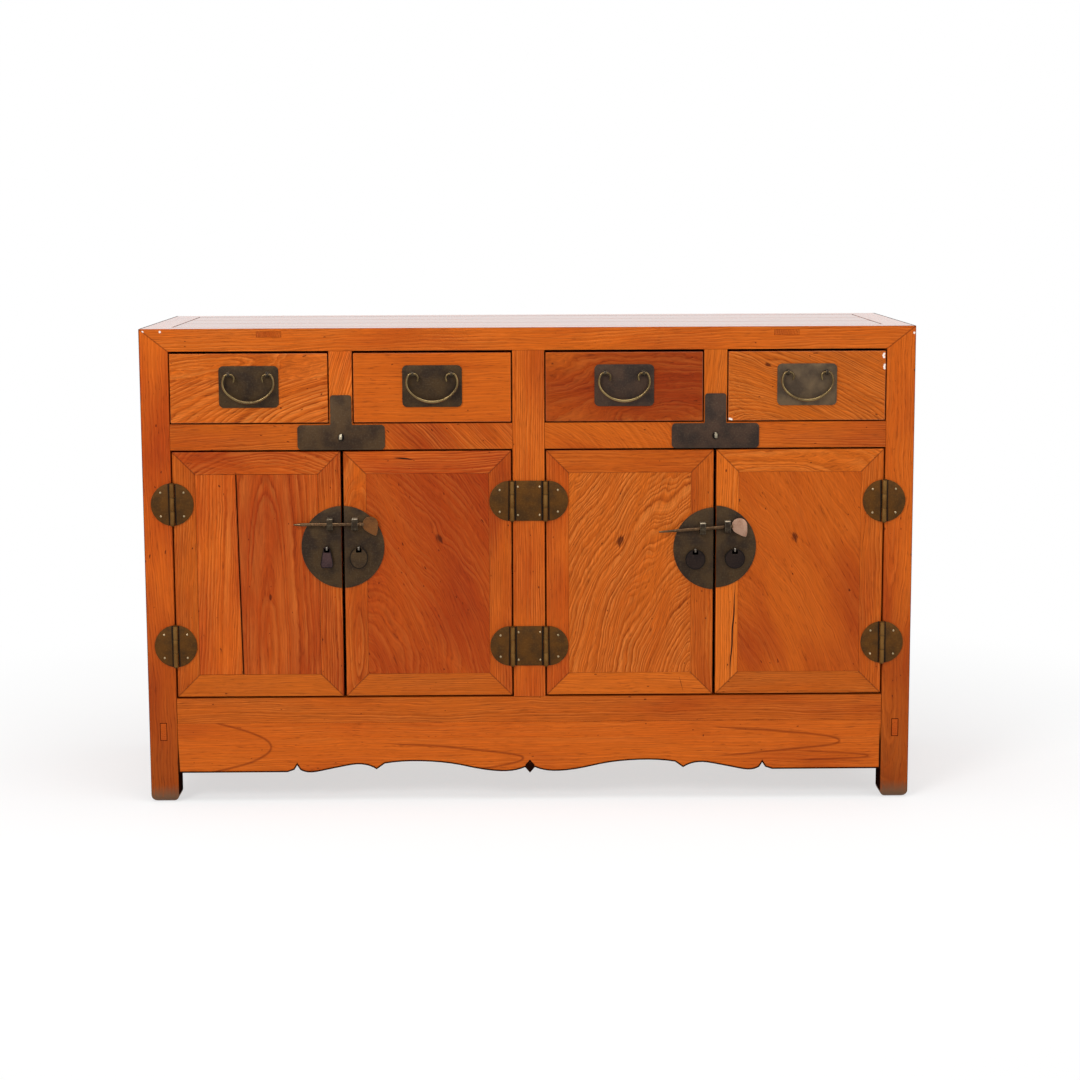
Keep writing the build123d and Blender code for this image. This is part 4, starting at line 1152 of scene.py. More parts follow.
@dataclass(frozen=True)
class Legs:
    """The four square legs, pointed at the top for the three-way mitre."""

    case: Box = field(default_factory=lambda: Box.of("top_frame"))
    width: float = LEG_WIDTH
    shrunk: float = SHRUNK  # at the back, beside the ends of the tenons
    foot: float = 13.0  # round of the foot's edges
    shade: float = 137.0  # height of the aprons, under which the inner faces are painted dark as shade
    fade: float = 3.0  # over which that painted shade sets in
    left: Figure = Figure(
        ring=4.5, depth=10, lean=0.03, swirl=0.6, shift=(330, 45), turn=1.5, strength=0.14, warmth=0.72,
        light=1.12, scuff=30,
    )
    right: Figure = Figure(
        ring=6, depth=4, lean=0.06, swirl=1.0, shift=(-60, -12), strength=0.2, warmth=0.65, light=1.03,
        scuff=30, chips=((393, 21, -24),),
    )

    def build(self) -> None:
        """Makes the four legs."""
        for end, front in (("front", True), ("back", False)):
            for name, side in HALVES:
                self._leg(f"leg_{end}_{name}", side, front)

    def _leg(self, name: str, side: int, front: bool) -> None:
        """Makes one leg."""
        case, w = self.case, self.width
        height = case.z1 - case.z0
        x0, x1 = (case.x0, case.x0 + w) if side < 0 else (case.x1 - w, case.x1)
        y0, y1 = (case.y0, case.y0 + w) if front else (case.y1 - w, case.y1 - self.shrunk)
        corner = (side * case.x1, case.y0 if front else case.y1, case.z1)
        out = -1 if front else 1
        leg = Board(
            name,
            Box(x0, x1, y0, y1, 0.0, case.z1),
            Grain.UP_FRONT,
            self.left if side < 0 else self.right,
            OUTER - {Side.TOP},
            ((corner, (-side * height, 0, w)), (corner, (0, -out * height, w))),
            worn=1.3,
            # The arrises are painted dark: partly grime, partly the shade of an edge that rounds away.
            rubbed=-0.4,
            foot=self.foot,
        )
        bm = leg.mesh()
        inner = side * (case.x1 - w)
        low = (0, 0, self.shade - self.fade)
        # The inner faces below the aprons are painted dark, as the shade that falls there.
        darken_beyond(bm, low, (0, 0, -1), self.fade, lambda co: abs(co.x - inner) < 0.05)
        show(bm, name, CASE, "elm", leg.material(), ["legs_front" if front else "legs_back"])


@dataclass(frozen=True)
class CaseFront:
    """Rails, stile and dividers that frame the drawers and doors."""

    stile: Box = field(default_factory=lambda: Box.of("middle_stile"))
    divider: float = 39.0
    dividers: Mapping[str, Figure] = field(
        default_factory=lambda: {
            "left": Figure(ring=3.6, turn=-16, warmth=0.5, strength=0.7, light=1.15),
            "right": Figure(ring=3.6, turn=-6, warmth=0.1, light=0.95),
        }
    )
    rails: Mapping[str, tuple[Figure, Figure]] = field(
        default_factory=lambda: {
            "left": (
                Figure(ring=5, shift=(0, 150), turn=-46, swirl=0.9, warmth=0.7, strength=0.5, light=0.98),
                Figure(ring=4, shift=(20, 95), turn=3, swirl=0.6, warmth=0.6, strength=0.4, light=0.92),
            ),
            "right": (
                Figure(ring=6, depth=3, lean=0.6, shift=(-190, 30), turn=-20, strength=0.25, light=0.96),
                Figure(ring=4, turn=-2, swirl=0.6, warmth=0.55, strength=0.4, light=0.96),
            ),
        }
    )

    def build(self) -> None:
        """Makes the members of the front."""
        Board(
            "bottom_rail",
            Box.of("bottom_rail"),
            Grain.ACROSS_FRONT,
            Figure(ring=4, shift=(0, 90), swirl=0.6, warmth=0.45, light=0.86),
        ).place(CASE, "elm", "bottom_rail")
        Board(
            "middle_stile",
            self.stile,
            Grain.UP_FRONT,
            Figure(ring=4.5, shift=(0, 180), swirl=0.3, warmth=0.65, strength=0.4, light=1.04),
        ).place(CASE, "elm", "middle_stile")
        dividers, rails = Box.of("drawer_dividers"), Box.of("drawer_rails")
        meeting = dividers.x1 - self.divider / 2
        for name, side in HALVES:
            own = replace(dividers, x0=dividers.x1 - self.divider).on(side)
            divider = Board(f"drawer_divider_{name}", own, Grain.UP_FRONT, self.dividers[name])
            divider.place(CASE, "elm", "drawer_dividers")
            # The grain changes under each T plate, which covers where two lengths of rail meet.
            lengths = {"inner": (self.stile.x1, meeting), "outer": (meeting, rails.x1)}
            for (label, (x0, x1)), figure in zip(lengths.items(), self.rails[name]):
                own = replace(rails, x0=x0, x1=x1).on(side)
                rail = Board(f"drawer_rail_{name}_{label}", own, Grain.ACROSS_FRONT, figure)
                rail.place(CASE, "elm", "drawer_rails")


@dataclass(frozen=True)
class Apron:
    """The front apron with its carved edge, and the plain aprons of the sides."""

    edge: float = 3.4  # width of the painted shade along the carved edge
    side_thickness: float = 22.0
    bud_width: float = 24.0
    bud_height: float = 28.0
    bud_rise: float = 61.0
    bud_depth: float = 2.5
    bud_top: float = 0.35  # width of its flat top, as a share of its own

    def build(self) -> None:
        """Makes the three aprons."""
        name = "front_apron"
        box = Box.of(name)
        bm = from_node(name)
        # The carved edge and the ends beside the legs are painted dark, as shade.
        dark_border(bm, self.edge, lambda co: co.z < box.z1 - 1)
        figure = Figure(
            ring=9,
            shift=(0, 120),
            arches=((-443, -3, 110, 44), (-12, 20, 240, 30), (531, -8, 220, 26), (580, 20, 120, 9)),
            warmth=0.55,
            strength=0.22,
        )
        material = ELM.material(name, box.centre(), Grain.ACROSS_FRONT, figure)
        show(bm, name, CASE, "elm", material, [name])
        sides = Box.of("side_aprons")
        right = replace(sides, x0=sides.x1 - self.side_thickness)
        for label, side in HALVES:
            apron = Board(f"side_apron_{label}", right.on(side), Grain.DEEP_SIDE, shows=frozenset(Side))
            apron.place(CASE, "elm", "side_aprons")
        self._bud(box.y0)

    def _bud(self, face: float) -> None:
        """Makes the carved bud at the middle: a four-sided point, grooved round, black with dirt and painted
        shade, its upper facets painted a little lighter as a glint.
        """
        bud = new_mesh()
        bmesh.ops.create_cone(bud, segments=4, radius1=1.0, radius2=self.bud_top, depth=1.0, cap_ends=True)
        ridges = [e for e in bud.edges if abs(e.verts[0].co.z - e.verts[1].co.z) > 0.5]
        bmesh.ops.subdivide_edges(bud, edges=ridges, cuts=2)
        stretch = (self.bud_width / 2, self.bud_height / 2, self.bud_depth)
        bmesh.ops.scale(bud, vec=stretch, verts=bud.verts)
        # Black for dirt and painted shade, with a painted glint on the upper facets.
        mark(bud, -1.0)
        mark(bud, -0.2, lambda co: co.z > self.bud_depth * 0.4 and co.y > 0)
        on_front(bud, 0.0, self.bud_rise, face)
        centre = Vector((0.0, face, self.bud_rise))
        material = ELM.material("apron_bud", centre, Grain.UP_FRONT, Figure(warmth=1.0, light=0.5))
        show(bud, "apron_bud", CASE, "elm", material, ["front_apron"])


@dataclass(frozen=True)
class SidesAndBack:
    """Panels and rails of both sides and the back."""

    member: float = 30.0
    panel: float = 10.0
    rail: float = 44.0
    housing: float = 6.0
    tenon_width: float = 12.0
    shoulder: float = 6.5
    leg_width: float = LEG_WIDTH
    back_stile: float = 50.0
    proud: float = SHRUNK  # of a tenon's end

    def build(self) -> None:
        """Makes both sides and the back."""
        rails, panels = Box.of("side_rails"), Box.of("side_panels")
        w = self.leg_width
        levels = ((rails.z0, rails.z0 + self.rail), (rails.z1 - self.rail, rails.z1))
        gaps = ((levels[0][1], levels[1][0]), (levels[1][1], panels.z1 - self.housing))
        for name, side in HALVES:
            for level, (z0, z1) in zip(("low", "middle"), levels):
                box = Box(rails.x1 - self.member, rails.x1, rails.y0 + w, rails.y1 - w, z0, z1)
                Board(
                    f"side_rail_{level}_{name}",
                    box.on(side),
                    Grain.DEEP_SIDE,
                    Figure(),
                    frozenset({Side.LEFT, Side.RIGHT}),
                ).place(CASE, "elm", "side_rails")
            for level, (z0, z1) in zip(("low", "high"), gaps):
                box = Box(panels.x1 - self.panel, panels.x1, rails.y0 + w, rails.y1 - w, z0, z1)
                Board(
                    f"side_panel_{level}_{name}",
                    box.on(side),
                    Grain.UP_SIDE if level == "low" else Grain.DEEP_SIDE,
                    Figure(ring=9, depth=4, lean=0.12, swirl=1.0, shift=(30, -40)),
                ).place(CASE, "elm", "side_panels")
            self._tenons(name, side, rails)
        self._back()

    def _tenons(self, name: str, side: int, rails: Box) -> None:
        """Makes the ends of the bottom rail's tenon, on the front and back of the legs."""
        inner = rails.x1 - self.member
        z0, z1 = rails.z0 + self.shoulder, rails.z0 + self.rail - self.shoulder
        w = self.leg_width
        for end, y0, y1 in (
            ("front", rails.y0 - self.proud, rails.y0 + w), ("back", rails.y1 - w, rails.y1)
        ):
            box = Box(inner, inner + self.tenon_width, y0, y1, z0, z1)
            tenon = Board(
                f"side_tenon_{end}_{name}",
                box.on(side),
                Grain.DEEP_SIDE,
                Figure(ring=3, warmth=0.8, strength=0.2),
            )
            bm = tenon.mesh()
            dark_border(bm, 1.0)
            show(bm, tenon.name, CASE, "elm", tenon.material(), ["side_rails"])

    def _back(self) -> None:
        """Makes the rails, stiles and panels of the back."""
        whole, panels = Box.of("back_frame"), Box.of("back_panels")
        h = self.housing
        middle = Box.of("side_rails")
        low = (whole.z0, whole.z0 + self.rail)
        high = (middle.z1 - self.rail, middle.z1)
        half = self.back_stile / 2
        for name, (z0, z1) in (("low", low), ("middle", high)):
            Board(
                f"back_rail_{name}", replace(whole, z0=z0, z1=z1), Grain.ACROSS_FRONT, finish=BARE_ELM
            ).place(CASE, "elm_bare", "back_frame")
        for name, (z0, z1) in (("low", (low[1], high[0])), ("high", (high[1], panels.z1 - h))):
            Board(
                f"back_stile_{name}",
                replace(whole, x0=-half, x1=half, z0=z0, z1=z1),
                Grain.UP_FRONT,
                finish=BARE_ELM,
            ).place(CASE, "elm_bare", "back_frame")
            for label, side in HALVES:
                box = Box(half, panels.x1 - h, panels.y0, panels.y1, z0, z1)
                Board(
                    f"back_panel_{name}_{label}",
                    box.on(side),
                    Grain.ACROSS_FRONT,
                    Figure(ring=10, depth=10, lean=0.06, shift=(60, 30)),
                    finish=BARE_ELM,
                ).place(CASE, "elm_bare", "back_panels")


@dataclass(frozen=True)
class Inside:
    """Floor boards, and the battens and runners that stay as the frame has them."""

    boards: int = 5
    notch: float = 29.4  # that the outer boards stop short, beside the legs

    def build(self) -> None:
        """Makes the floor and dresses what carries the drawers."""
        whole = Box.of("floor_boards")
        width = (whole.y1 - whole.y0) / self.boards
        for index in range(self.boards):
            short = self.notch if index in (0, self.boards - 1) else 0.0
            y0 = whole.y0 + index * width
            Board(
                f"floor_board_{index + 1}",
                replace(whole, x0=whole.x0 + short, x1=whole.x1 - short, y0=y0, y1=y0 + width),
                Grain.ACROSS_TOP,
                Figure(ring=9, depth=10, lean=0.05, shift=(100, 20)),
                finish=BARE_ELM,
            ).place(CASE, "elm_bare", "floor_boards")
        for node in ("floor_battens", "drawer_runners"):
            box = Box.of(node)
            material = BARE_ELM.material(node, box.centre(), Grain.DEEP_TOP, Figure())
            dress(node, material)


def dress(node: str, material: bpy.types.Material) -> None:
    """Gives a CAD node that stays on show its finish."""
    mesh = frame["nodes"][node].data
    mesh.materials.clear()
    mesh.materials.append(material)


# ---- Drawers, doors and their fittings ----


@dataclass(frozen=True)
class Eye:
    """An eye bent from strap: out of a plate, round, and back into it."""

    width: float
    strap: float  # thickness
    bend: float  # radius of the strap's centre line
    flat: float = 0.0  # straight length between the two quarter bends

    def mesh(self, stand: float) -> Mesh:
        """Bends the eye.

        Args:
            stand: from the plate to the centre of the bends.

        Returns:
            The eye, as on_front takes it.
        """
        bar = Bender(0.0, rectangle(self.width, self.strap))
        bar.run(stand).bend(self.bend, 90, 6)
        if self.flat:
            bar.run(self.flat)
        bar.bend(self.bend, 90, 6).run(stand)
        bm = bar.closed()
        bmesh.ops.translate(bm, vec=(0, -self.bend - self.flat / 2, 0), verts=bm.verts)
        upright = Matrix.Rotation(math.radians(-90), 3, "Y")
        bmesh.ops.rotate(bm, cent=(0, 0, 0), matrix=upright, verts=bm.verts)
        ease(bm, sharp(bm, 60), self.strap * 0.2, mark=0.7)
        return bm


@dataclass(frozen=True)
class Drawer:
    """One drawer: its front, the box behind it, the pull plate with its eyes, and the bail."""

    number: int
    figures: tuple[Figure, ...]  # of the front's boards, from the lowest up
    metal: BrassFinish = PLATE_BRASS
    seam: float = 73.0  # height of the lower board, where the front has two
    board: float = 10.0
    bottom: float = 6.0
    lift: float = 8.0
    plate_width: float = 100.0
    plate_height: float = 70.0
    plate_corner: float = 8.0
    plate: float = SHEET
    post: float = 32.5  # from the middle to each eye
    eye: Eye = Eye(width=4.0, strap=1.7, bend=3.4)
    washer: float = 5.0
    washer_height: float = 1.0
    wire: float = 1.95  # radius of the bail where it is thinnest
    belly: float = 2.65  # and at its lowest point
    tail: float = 5.0  # straight end of a curl
    arm: float = 5.6  # straight length that turns in an eye
    curl: tuple[float, float] = (6.5, 105.0)  # radius and turn of each bend, in degrees
    shoulder: tuple[float, float] = (4.7, 60.0)
    flank: tuple[float, float] = (24.0, 70.0)

    @property
    def body(self) -> str:
        """The CAD body that the drawer is."""
        return f"drawer_{self.number}"

    def build(self) -> None:
        """Makes the drawer."""
        front = Box.of(f"{self.body}_front")
        levels = (front.z0, front.z0 + self.seam, front.z1) if len(self.figures) > 1 else (front.z0, front.z1)
        around = {Side.FRONT, Side.LEFT, Side.RIGHT}
        for index, figure in enumerate(self.figures):
            z0, z1 = levels[index], levels[index + 1]
            ends = {Side.BOTTOM} if z0 == front.z0 else set()
            ends |= {Side.TOP} if z1 == front.z1 else set()
            Board(
                f"{self.body}_front_{index + 1}",
                replace(front, z0=z0, z1=z1),
                Grain.ACROSS_FRONT,
                figure,
                frozenset(around | ends),
                worn=1.4,
                joint=0.2,
                rubbed=0.3,
            ).place(self.body, "elm_panel", f"{self.body}_front")
        self._box(front)
        self._pull()
        self._bail()

    def _box(self, front: Box) -> None:
        """Makes the sides, the back and the bottom."""
        node = f"{self.body}_box"
        whole = replace(Box.of(node), y0=front.y1)
        t = self.board
        parts = {
            "side_left": (replace(whole, x1=whole.x0 + t), Grain.DEEP_SIDE),
            "side_right": (replace(whole, x0=whole.x1 - t), Grain.DEEP_SIDE),
            "back": (replace(whole, x0=whole.x0 + t, x1=whole.x1 - t, y0=whole.y1 - t), Grain.ACROSS_FRONT),
            "bottom": (
                Box(
                    whole.x0 + t,
                    whole.x1 - t,
                    whole.y0,
                    whole.y1 - t,
                    whole.z0 + self.lift,
                    whole.z0 + self.lift + self.bottom,
                ),
                Grain.DEEP_TOP,
            ),
        }
        for name, (box, grain) in parts.items():
            Board(
                f"{self.body}_{name}",
                box,
                grain,
                Figure(ring=8, shift=(0, 60), swirl=0.8),
                frozenset({Side.TOP, Side.LEFT, Side.RIGHT, Side.FRONT, Side.BACK}),
                worn=0.8,
                finish=BARE_ELM,
            ).place(self.body, "elm_bare", node)

    def _pull(self) -> None:
        """Makes the plate and the two eyes that hold the bail."""
        node = f"{self.body}_pull"
        box = Box.of(node)
        middle, face = box.centre(), box.y1
        x, z = middle.x, box.z0 + self.plate_height / 2
        outline = rounded_rectangle(self.plate_width, self.plate_height, self.plate_corner)
        plate = on_front(raised(outline, self.plate), x, z, face)
        show(plate, f"{self.body}_plate", self.body, "brass_dark", self.metal.material(), [node], 35)
        axis = Vector(joint_place(f"bail_{self.number}_swing"))
        stand = face - self.plate - axis.y
        for name, side in HALVES:
            place = (axis.x + side * self.post, axis.z, face - self.plate)
            # A dark rosette washer under each eye, which also stands for the shadow round the eye; its lower
            # half and the eye near the plate are painted shade.
            washer = raised(disc(self.washer, 32), self.washer_height, 0.6)
            mark(washer, -0.6, lambda co: co.z < self.washer_height / 2)
            eye = mark(self.eye.mesh(stand), -0.5, lambda co: co.z < stand - 1)
            whole = merged(on_front(washer, *place), on_front(eye, *place))
            metal = EYE_BRASS.material()
            show(whole, f"{self.body}_eye_{name}", self.body, "brass_dark", metal, [node], 35)

    def _bail(self) -> None:
        """Makes the bail: curled ends, square shoulders and a thick round belly."""
        axis = Vector(joint_place(f"bail_{self.number}_swing"))
        curl, arm, shoulder, flank = self.curl, self.arm, self.shoulder, self.flank
        turned = math.radians(shoulder[1])
        rest = 180.0 - shoulder[1] - flank[1]
        reach = self.post + arm / 2 + shoulder[0] * math.sin(turned)
        reach += flank[0] * (math.sin(math.radians(rest)) - math.sin(turned))
        belly = (reach / math.sin(math.radians(rest)), rest)
        thicker = math.sqrt(self.belly / self.wire)
        bar = Bender(180.0 - curl[1], disc(self.wire, 14))
        bar.run(self.tail, 2).bend(*curl, 12)
        start = bar.at.copy()
        bar.run(arm, 1).bend(*shoulder, 6).bend(*flank, 12, thicker).bend(*belly, 10, thicker)
        bar.bend(*belly, 10, 1 / thicker).bend(*flank, 12, 1 / thicker).bend(*shoulder, 6).run(arm, 1)
        bar.bend(*curl, 12).run(self.tail, 2)
        bm = bar.closed()
        home = Vector((arm / 2 - self.post, 0.0, 0.0)) - start
        bmesh.ops.translate(bm, vec=home, verts=bm.verts)
        ease(bm, sharp(bm, 60), 0.7, mark=0.6)
        # The upper part with the curls is painted darker, as shade.
        mark(bm, -0.2, lambda co: abs(co.x) < self.post + arm and co.y > -2 * curl[0])
        on_front(bm, axis.x, axis.z, axis.y)
        name = f"bail_{self.number}"
        show(bm, name, name, "brass_bright", BAIL_BRASS.material(), [f"{self.body}_bail"], 50)


def joint_place(name: str) -> list[float]:
    """Where a hinge joint turns, in millimetres."""
    return next([v / MM for v in j["pos_m"]] for j in frame["joints"] if j["name"] == name)


def rectangle(width: float, height: float) -> Mesh:
    """A flat rectangle, lying at zero."""
    bm = new_mesh()
    bmesh.ops.create_grid(bm, x_segments=1, y_segments=1, size=0.5)
    bmesh.ops.scale(bm, vec=(width, height, 1.0), verts=bm.verts)
    return bm


def rounded_rectangle(width: float, height: float, corner: float) -> Mesh:
    """A flat rectangle with round corners, lying at zero.

    Args:
        width: along x.
        height: along y.
        corner: radius of each corner.

    Returns:
        A mesh of one face that looks up.
    """
    bm = rectangle(width, height)
    round_corners(bm, bm.verts, corner)
    return bm


def round_corners(bm: Mesh, corners: Iterable[bmesh.types.BMVert], radius: float) -> None:
    """Rounds some corners of a flat face."""
    bmesh.ops.bevel(
        bm, geom=list(corners), offset=radius, offset_type="OFFSET", affect="VERTICES", segments=6,
        profile=0.5, material=-1,
    )


def disc(radius: float, segments: int = 96) -> Mesh:
    """A flat disc, lying at zero."""
    bm = new_mesh()
    bmesh.ops.create_circle(bm, cap_ends=True, segments=segments, radius=radius)
    return bm


def trimmed(bm: Mesh, x: float, side: int) -> Mesh:
    """Keeps the part of a flat outline on one side of an upright line.

    Args:
        bm: the outline.
        x: where the line stands.
        side: 1 keeps what lies to its right, -1 what lies to its left.

    Returns:
        The same mesh.
    """
    split_at(bm, (x, 0, 0), (-side, 0, 0), clear=True)
    return bm


def raised(bm: Mesh, thickness: float, rim: float = 0.45) -> Mesh:
    """Gives a flat outline its thickness and an eased, slightly rubbed rim.

    Args:
        bm: the outline, lying at zero.
        thickness: how thick the plate is.
        rim: width of the eased edge.

    Returns:
        The same mesh, closed.
    """
    made = bmesh.ops.extrude_face_region(bm, geom=list(bm.faces))
    risen = [g for g in made["geom"] if isinstance(g, bmesh.types.BMVert)]
    bmesh.ops.translate(bm, vec=(0, 0, thickness), verts=risen)
    top = [e for e in bm.edges if all(v.co.z > thickness / 2 for v in e.verts)]
    top = [e for e in top if any(f.normal.z < 0.5 for f in e.link_faces)]
    bmesh.ops.recalc_face_normals(bm, faces=bm.faces)
    ease(bm, top, rim, mark=0.3)
    return bm


def dome(stretch: Point, segments: tuple[int, int]) -> Mesh:
    """A domed nail head, lying at zero.

    Args:
        stretch: its half widths and its height.
        segments: round it, and from pole to pole of its whole sphere.

    Returns:
        A closed mesh.
    """
    bm = new_mesh()
    bmesh.ops.create_uvsphere(bm, u_segments=segments[0], v_segments=segments[1], radius=1.0)
    bmesh.ops.scale(bm, vec=stretch, verts=bm.verts)
    cut_away(bm, (0, 0, 0), (0, 0, -1))
    return bm


def stub(
    radius: float, length: float, rounding: float, rim: float, segments: int = 24, skin: float = 0.0
) -> Mesh:
    """A short upright cylinder with rounded rims, its middle at zero.

    Args:
        radius: of the cylinder.
        length: from end to end.
        rounding: how far the rounds reach.
        rim: mark of the rims.
        segments: faces round it.
        skin: mark of the rest.

    Returns:
        A closed mesh.
    """
    bm = new_mesh()
    bmesh.ops.create_cone(
        bm, cap_ends=True, segments=segments, radius1=radius, radius2=radius, depth=length
    )
    mark(bm, skin)
    ease(bm, sharp(bm, 60), rounding, mark=rim)
    return bm


class Bender:
    """Bends a bar in the XY plane, one straight run or arc after another."""

    def __init__(self, degrees: float, section: Mesh) -> None:
        """Starts a bar at the origin.

        Args:
            degrees: the way it heads, from X towards Y.
            section: its section, lying flat at the origin.
        """
        self.bm = section
        self.at = Vector((0.0, 0.0, 0.0))
        self.heading = math.radians(degrees)
        turn = Matrix.Rotation(self.heading, 4, "Z") @ Matrix.Rotation(math.radians(90), 4, "Y")
        bmesh.ops.transform(self.bm, matrix=turn, verts=self.bm.verts)
        self.rim = list(self.bm.edges)

    def _step(self, move: Matrix, grow: float) -> None:
        """Extrudes the last section, moves it and scales it about its centre."""
        made = bmesh.ops.extrude_edge_only(self.bm, edges=self.rim)
        self.rim = [g for g in made["geom"] if isinstance(g, bmesh.types.BMEdge) and self._is_new(g, made)]
        verts = {v for e in self.rim for v in e.verts}
        bmesh.ops.transform(self.bm, matrix=move, verts=list(verts))
        self.at = move @ self.at
        away = Matrix.Translation(self.at) @ Matrix.Scale(grow, 4) @ Matrix.Translation(-self.at)
        bmesh.ops.transform(self.bm, matrix=away, verts=list(verts))

    @staticmethod
    def _is_new(edge: bmesh.types.BMEdge, made: dict) -> bool:
        """True if both ends of an edge came from the last extrusion."""
        fresh = {g for g in made["geom"] if isinstance(g, bmesh.types.BMVert)}
        return all(v in fresh for v in edge.verts)

    def run(self, length: float, steps: int = 1) -> "Bender":
        """Adds a straight run."""
        ahead = Vector((math.cos(self.heading), math.sin(self.heading), 0.0)) * (length / steps)
        for _ in range(steps):
            self._step(Matrix.Translation(ahead), 1.0)
        return self

    def bend(self, radius: float, degrees: float, steps: int, grow: float = 1.0) -> "Bender":
        """Adds an arc.

        Args:
            radius: of the bar's centre line.
            degrees: how far it turns, positive to the left.
            steps: sections along the arc.
            grow: how many times as thick the bar is at the arc's end.

        Returns:
            The bender.
        """
        left = Vector((-math.sin(self.heading), math.cos(self.heading), 0.0))
        centre = self.at + left * math.copysign(radius, degrees)
        turn = Matrix.Rotation(math.radians(degrees) / steps, 4, "Z")
        move = Matrix.Translation(centre) @ turn @ Matrix.Translation(-centre)
        for _ in range(steps):
            self._step(move, grow ** (1 / steps))
        self.heading += math.radians(degrees)
        return self

    def closed(self) -> Mesh:
        """Closes the last section and gives the bar's mesh."""
        bmesh.ops.edgeloop_fill(self.bm, edges=self.rim)
        bmesh.ops.recalc_face_normals(self.bm, faces=self.bm.faces)
        return self.bm


@dataclass(frozen=True)
class Door:
    """One door's woodwork: a mitred frame round a flush panel. Its hinge leaves, lock plate and tag are made
    with the hinges and locks.
    """

    number: int
    panel: Figure
    stile_left: Figure
    stile_right: Figure
    rail_low: Figure
    rail_high: Figure
    split: tuple[float, float] | None = None  # x of a crack through the panel, at its top and foot
    split_gap: float = 0.7  # from the crack's middle to each board
    width: float = 38.0
    panel_thickness: float = 12.0

    @property
    def body(self) -> str:
        """The CAD body that the door is."""
        return f"door_{self.number}"

    def build(self) -> None:
        """Makes the door's woodwork."""
        node = f"{self.body}_frame"
        whole, w = Box.of(node), self.width
        members = {
            "stile_left": (replace(whole, x1=whole.x0 + w), Grain.UP_FRONT, (1, 0), Side.LEFT),
            "stile_right": (replace(whole, x0=whole.x1 - w), Grain.UP_FRONT, (-1, 0), Side.RIGHT),
            "rail_low": (replace(whole, z1=whole.z0 + w), Grain.ACROSS_FRONT, (0, 1), Side.BOTTOM),
            "rail_high": (replace(whole, z0=whole.z1 - w), Grain.ACROSS_FRONT, (0, -1), Side.TOP),
        }
        for name, (box, grain, inward, edge) in members.items():
            Board(
                f"{self.body}_{name}",
                box,
                grain,
                getattr(self, name),
                frozenset({Side.FRONT, edge}),
                self._mitres(whole, inward),
                worn=1.4,
                joint=0.8,
                soiled=-0.2,
            ).place(self.body, "elm", node)
        self._panel(whole)

    @staticmethod
    def _mitres(whole: Box, inward: tuple[int, int]) -> tuple[Plane, ...]:
        """The two planes that mitre a member.

        Args:
            whole: the box of the whole frame.
            inward: direction from the member to the door's middle, along x and z.

        Returns:
            A point and a normal for each plane.
        """
        cuts = []
        dx, dz = inward
        for end in (-1, 1):
            x = (whole.x0 if dx > 0 else whole.x1) if dx else (whole.x1 if end > 0 else whole.x0)
            z = (whole.z0 if dz > 0 else whole.z1) if dz else (whole.z1 if end > 0 else whole.z0)
            away = (dx, 0, end) if dx else (end, 0, dz)
            cuts.append(((x, 0.0, z), away))
        return tuple(cuts)

    def _panel(self, whole: Box) -> None:
        """Makes the panel, in two boards where it has split."""
        node, w = f"{self.body}_panel", self.width
        box = Box(
            whole.x0 + w,
            whole.x1 - w,
            whole.y0,
            whole.y0 + self.panel_thickness,
            whole.z0 + w,
            whole.z1 - w,
        )
        if self.split is None:
            board = Board(node, box, Grain.UP_FRONT, self.panel, joint=0.4, soiled=-0.2)
            board.place(self.body, "elm_panel", node)
            return
        top, foot = self.split
        slope = (box.z1 - box.z0, 0.0, foot - top)
        for name, side in HALVES:
            beyond = tuple(-side * v for v in slope)
            figure = self.panel if side > 0 else replace(PLAIN, ring=6, turn=-3, warmth=0.8, light=1.1)
            cut = ((top + side * self.split_gap, 0.0, box.z1), beyond)
            board = Board(f"{node}_{name}", box, Grain.UP_FRONT, figure, cuts=(cut,), joint=0.4)
            board.place(self.body, "elm_panel", node)


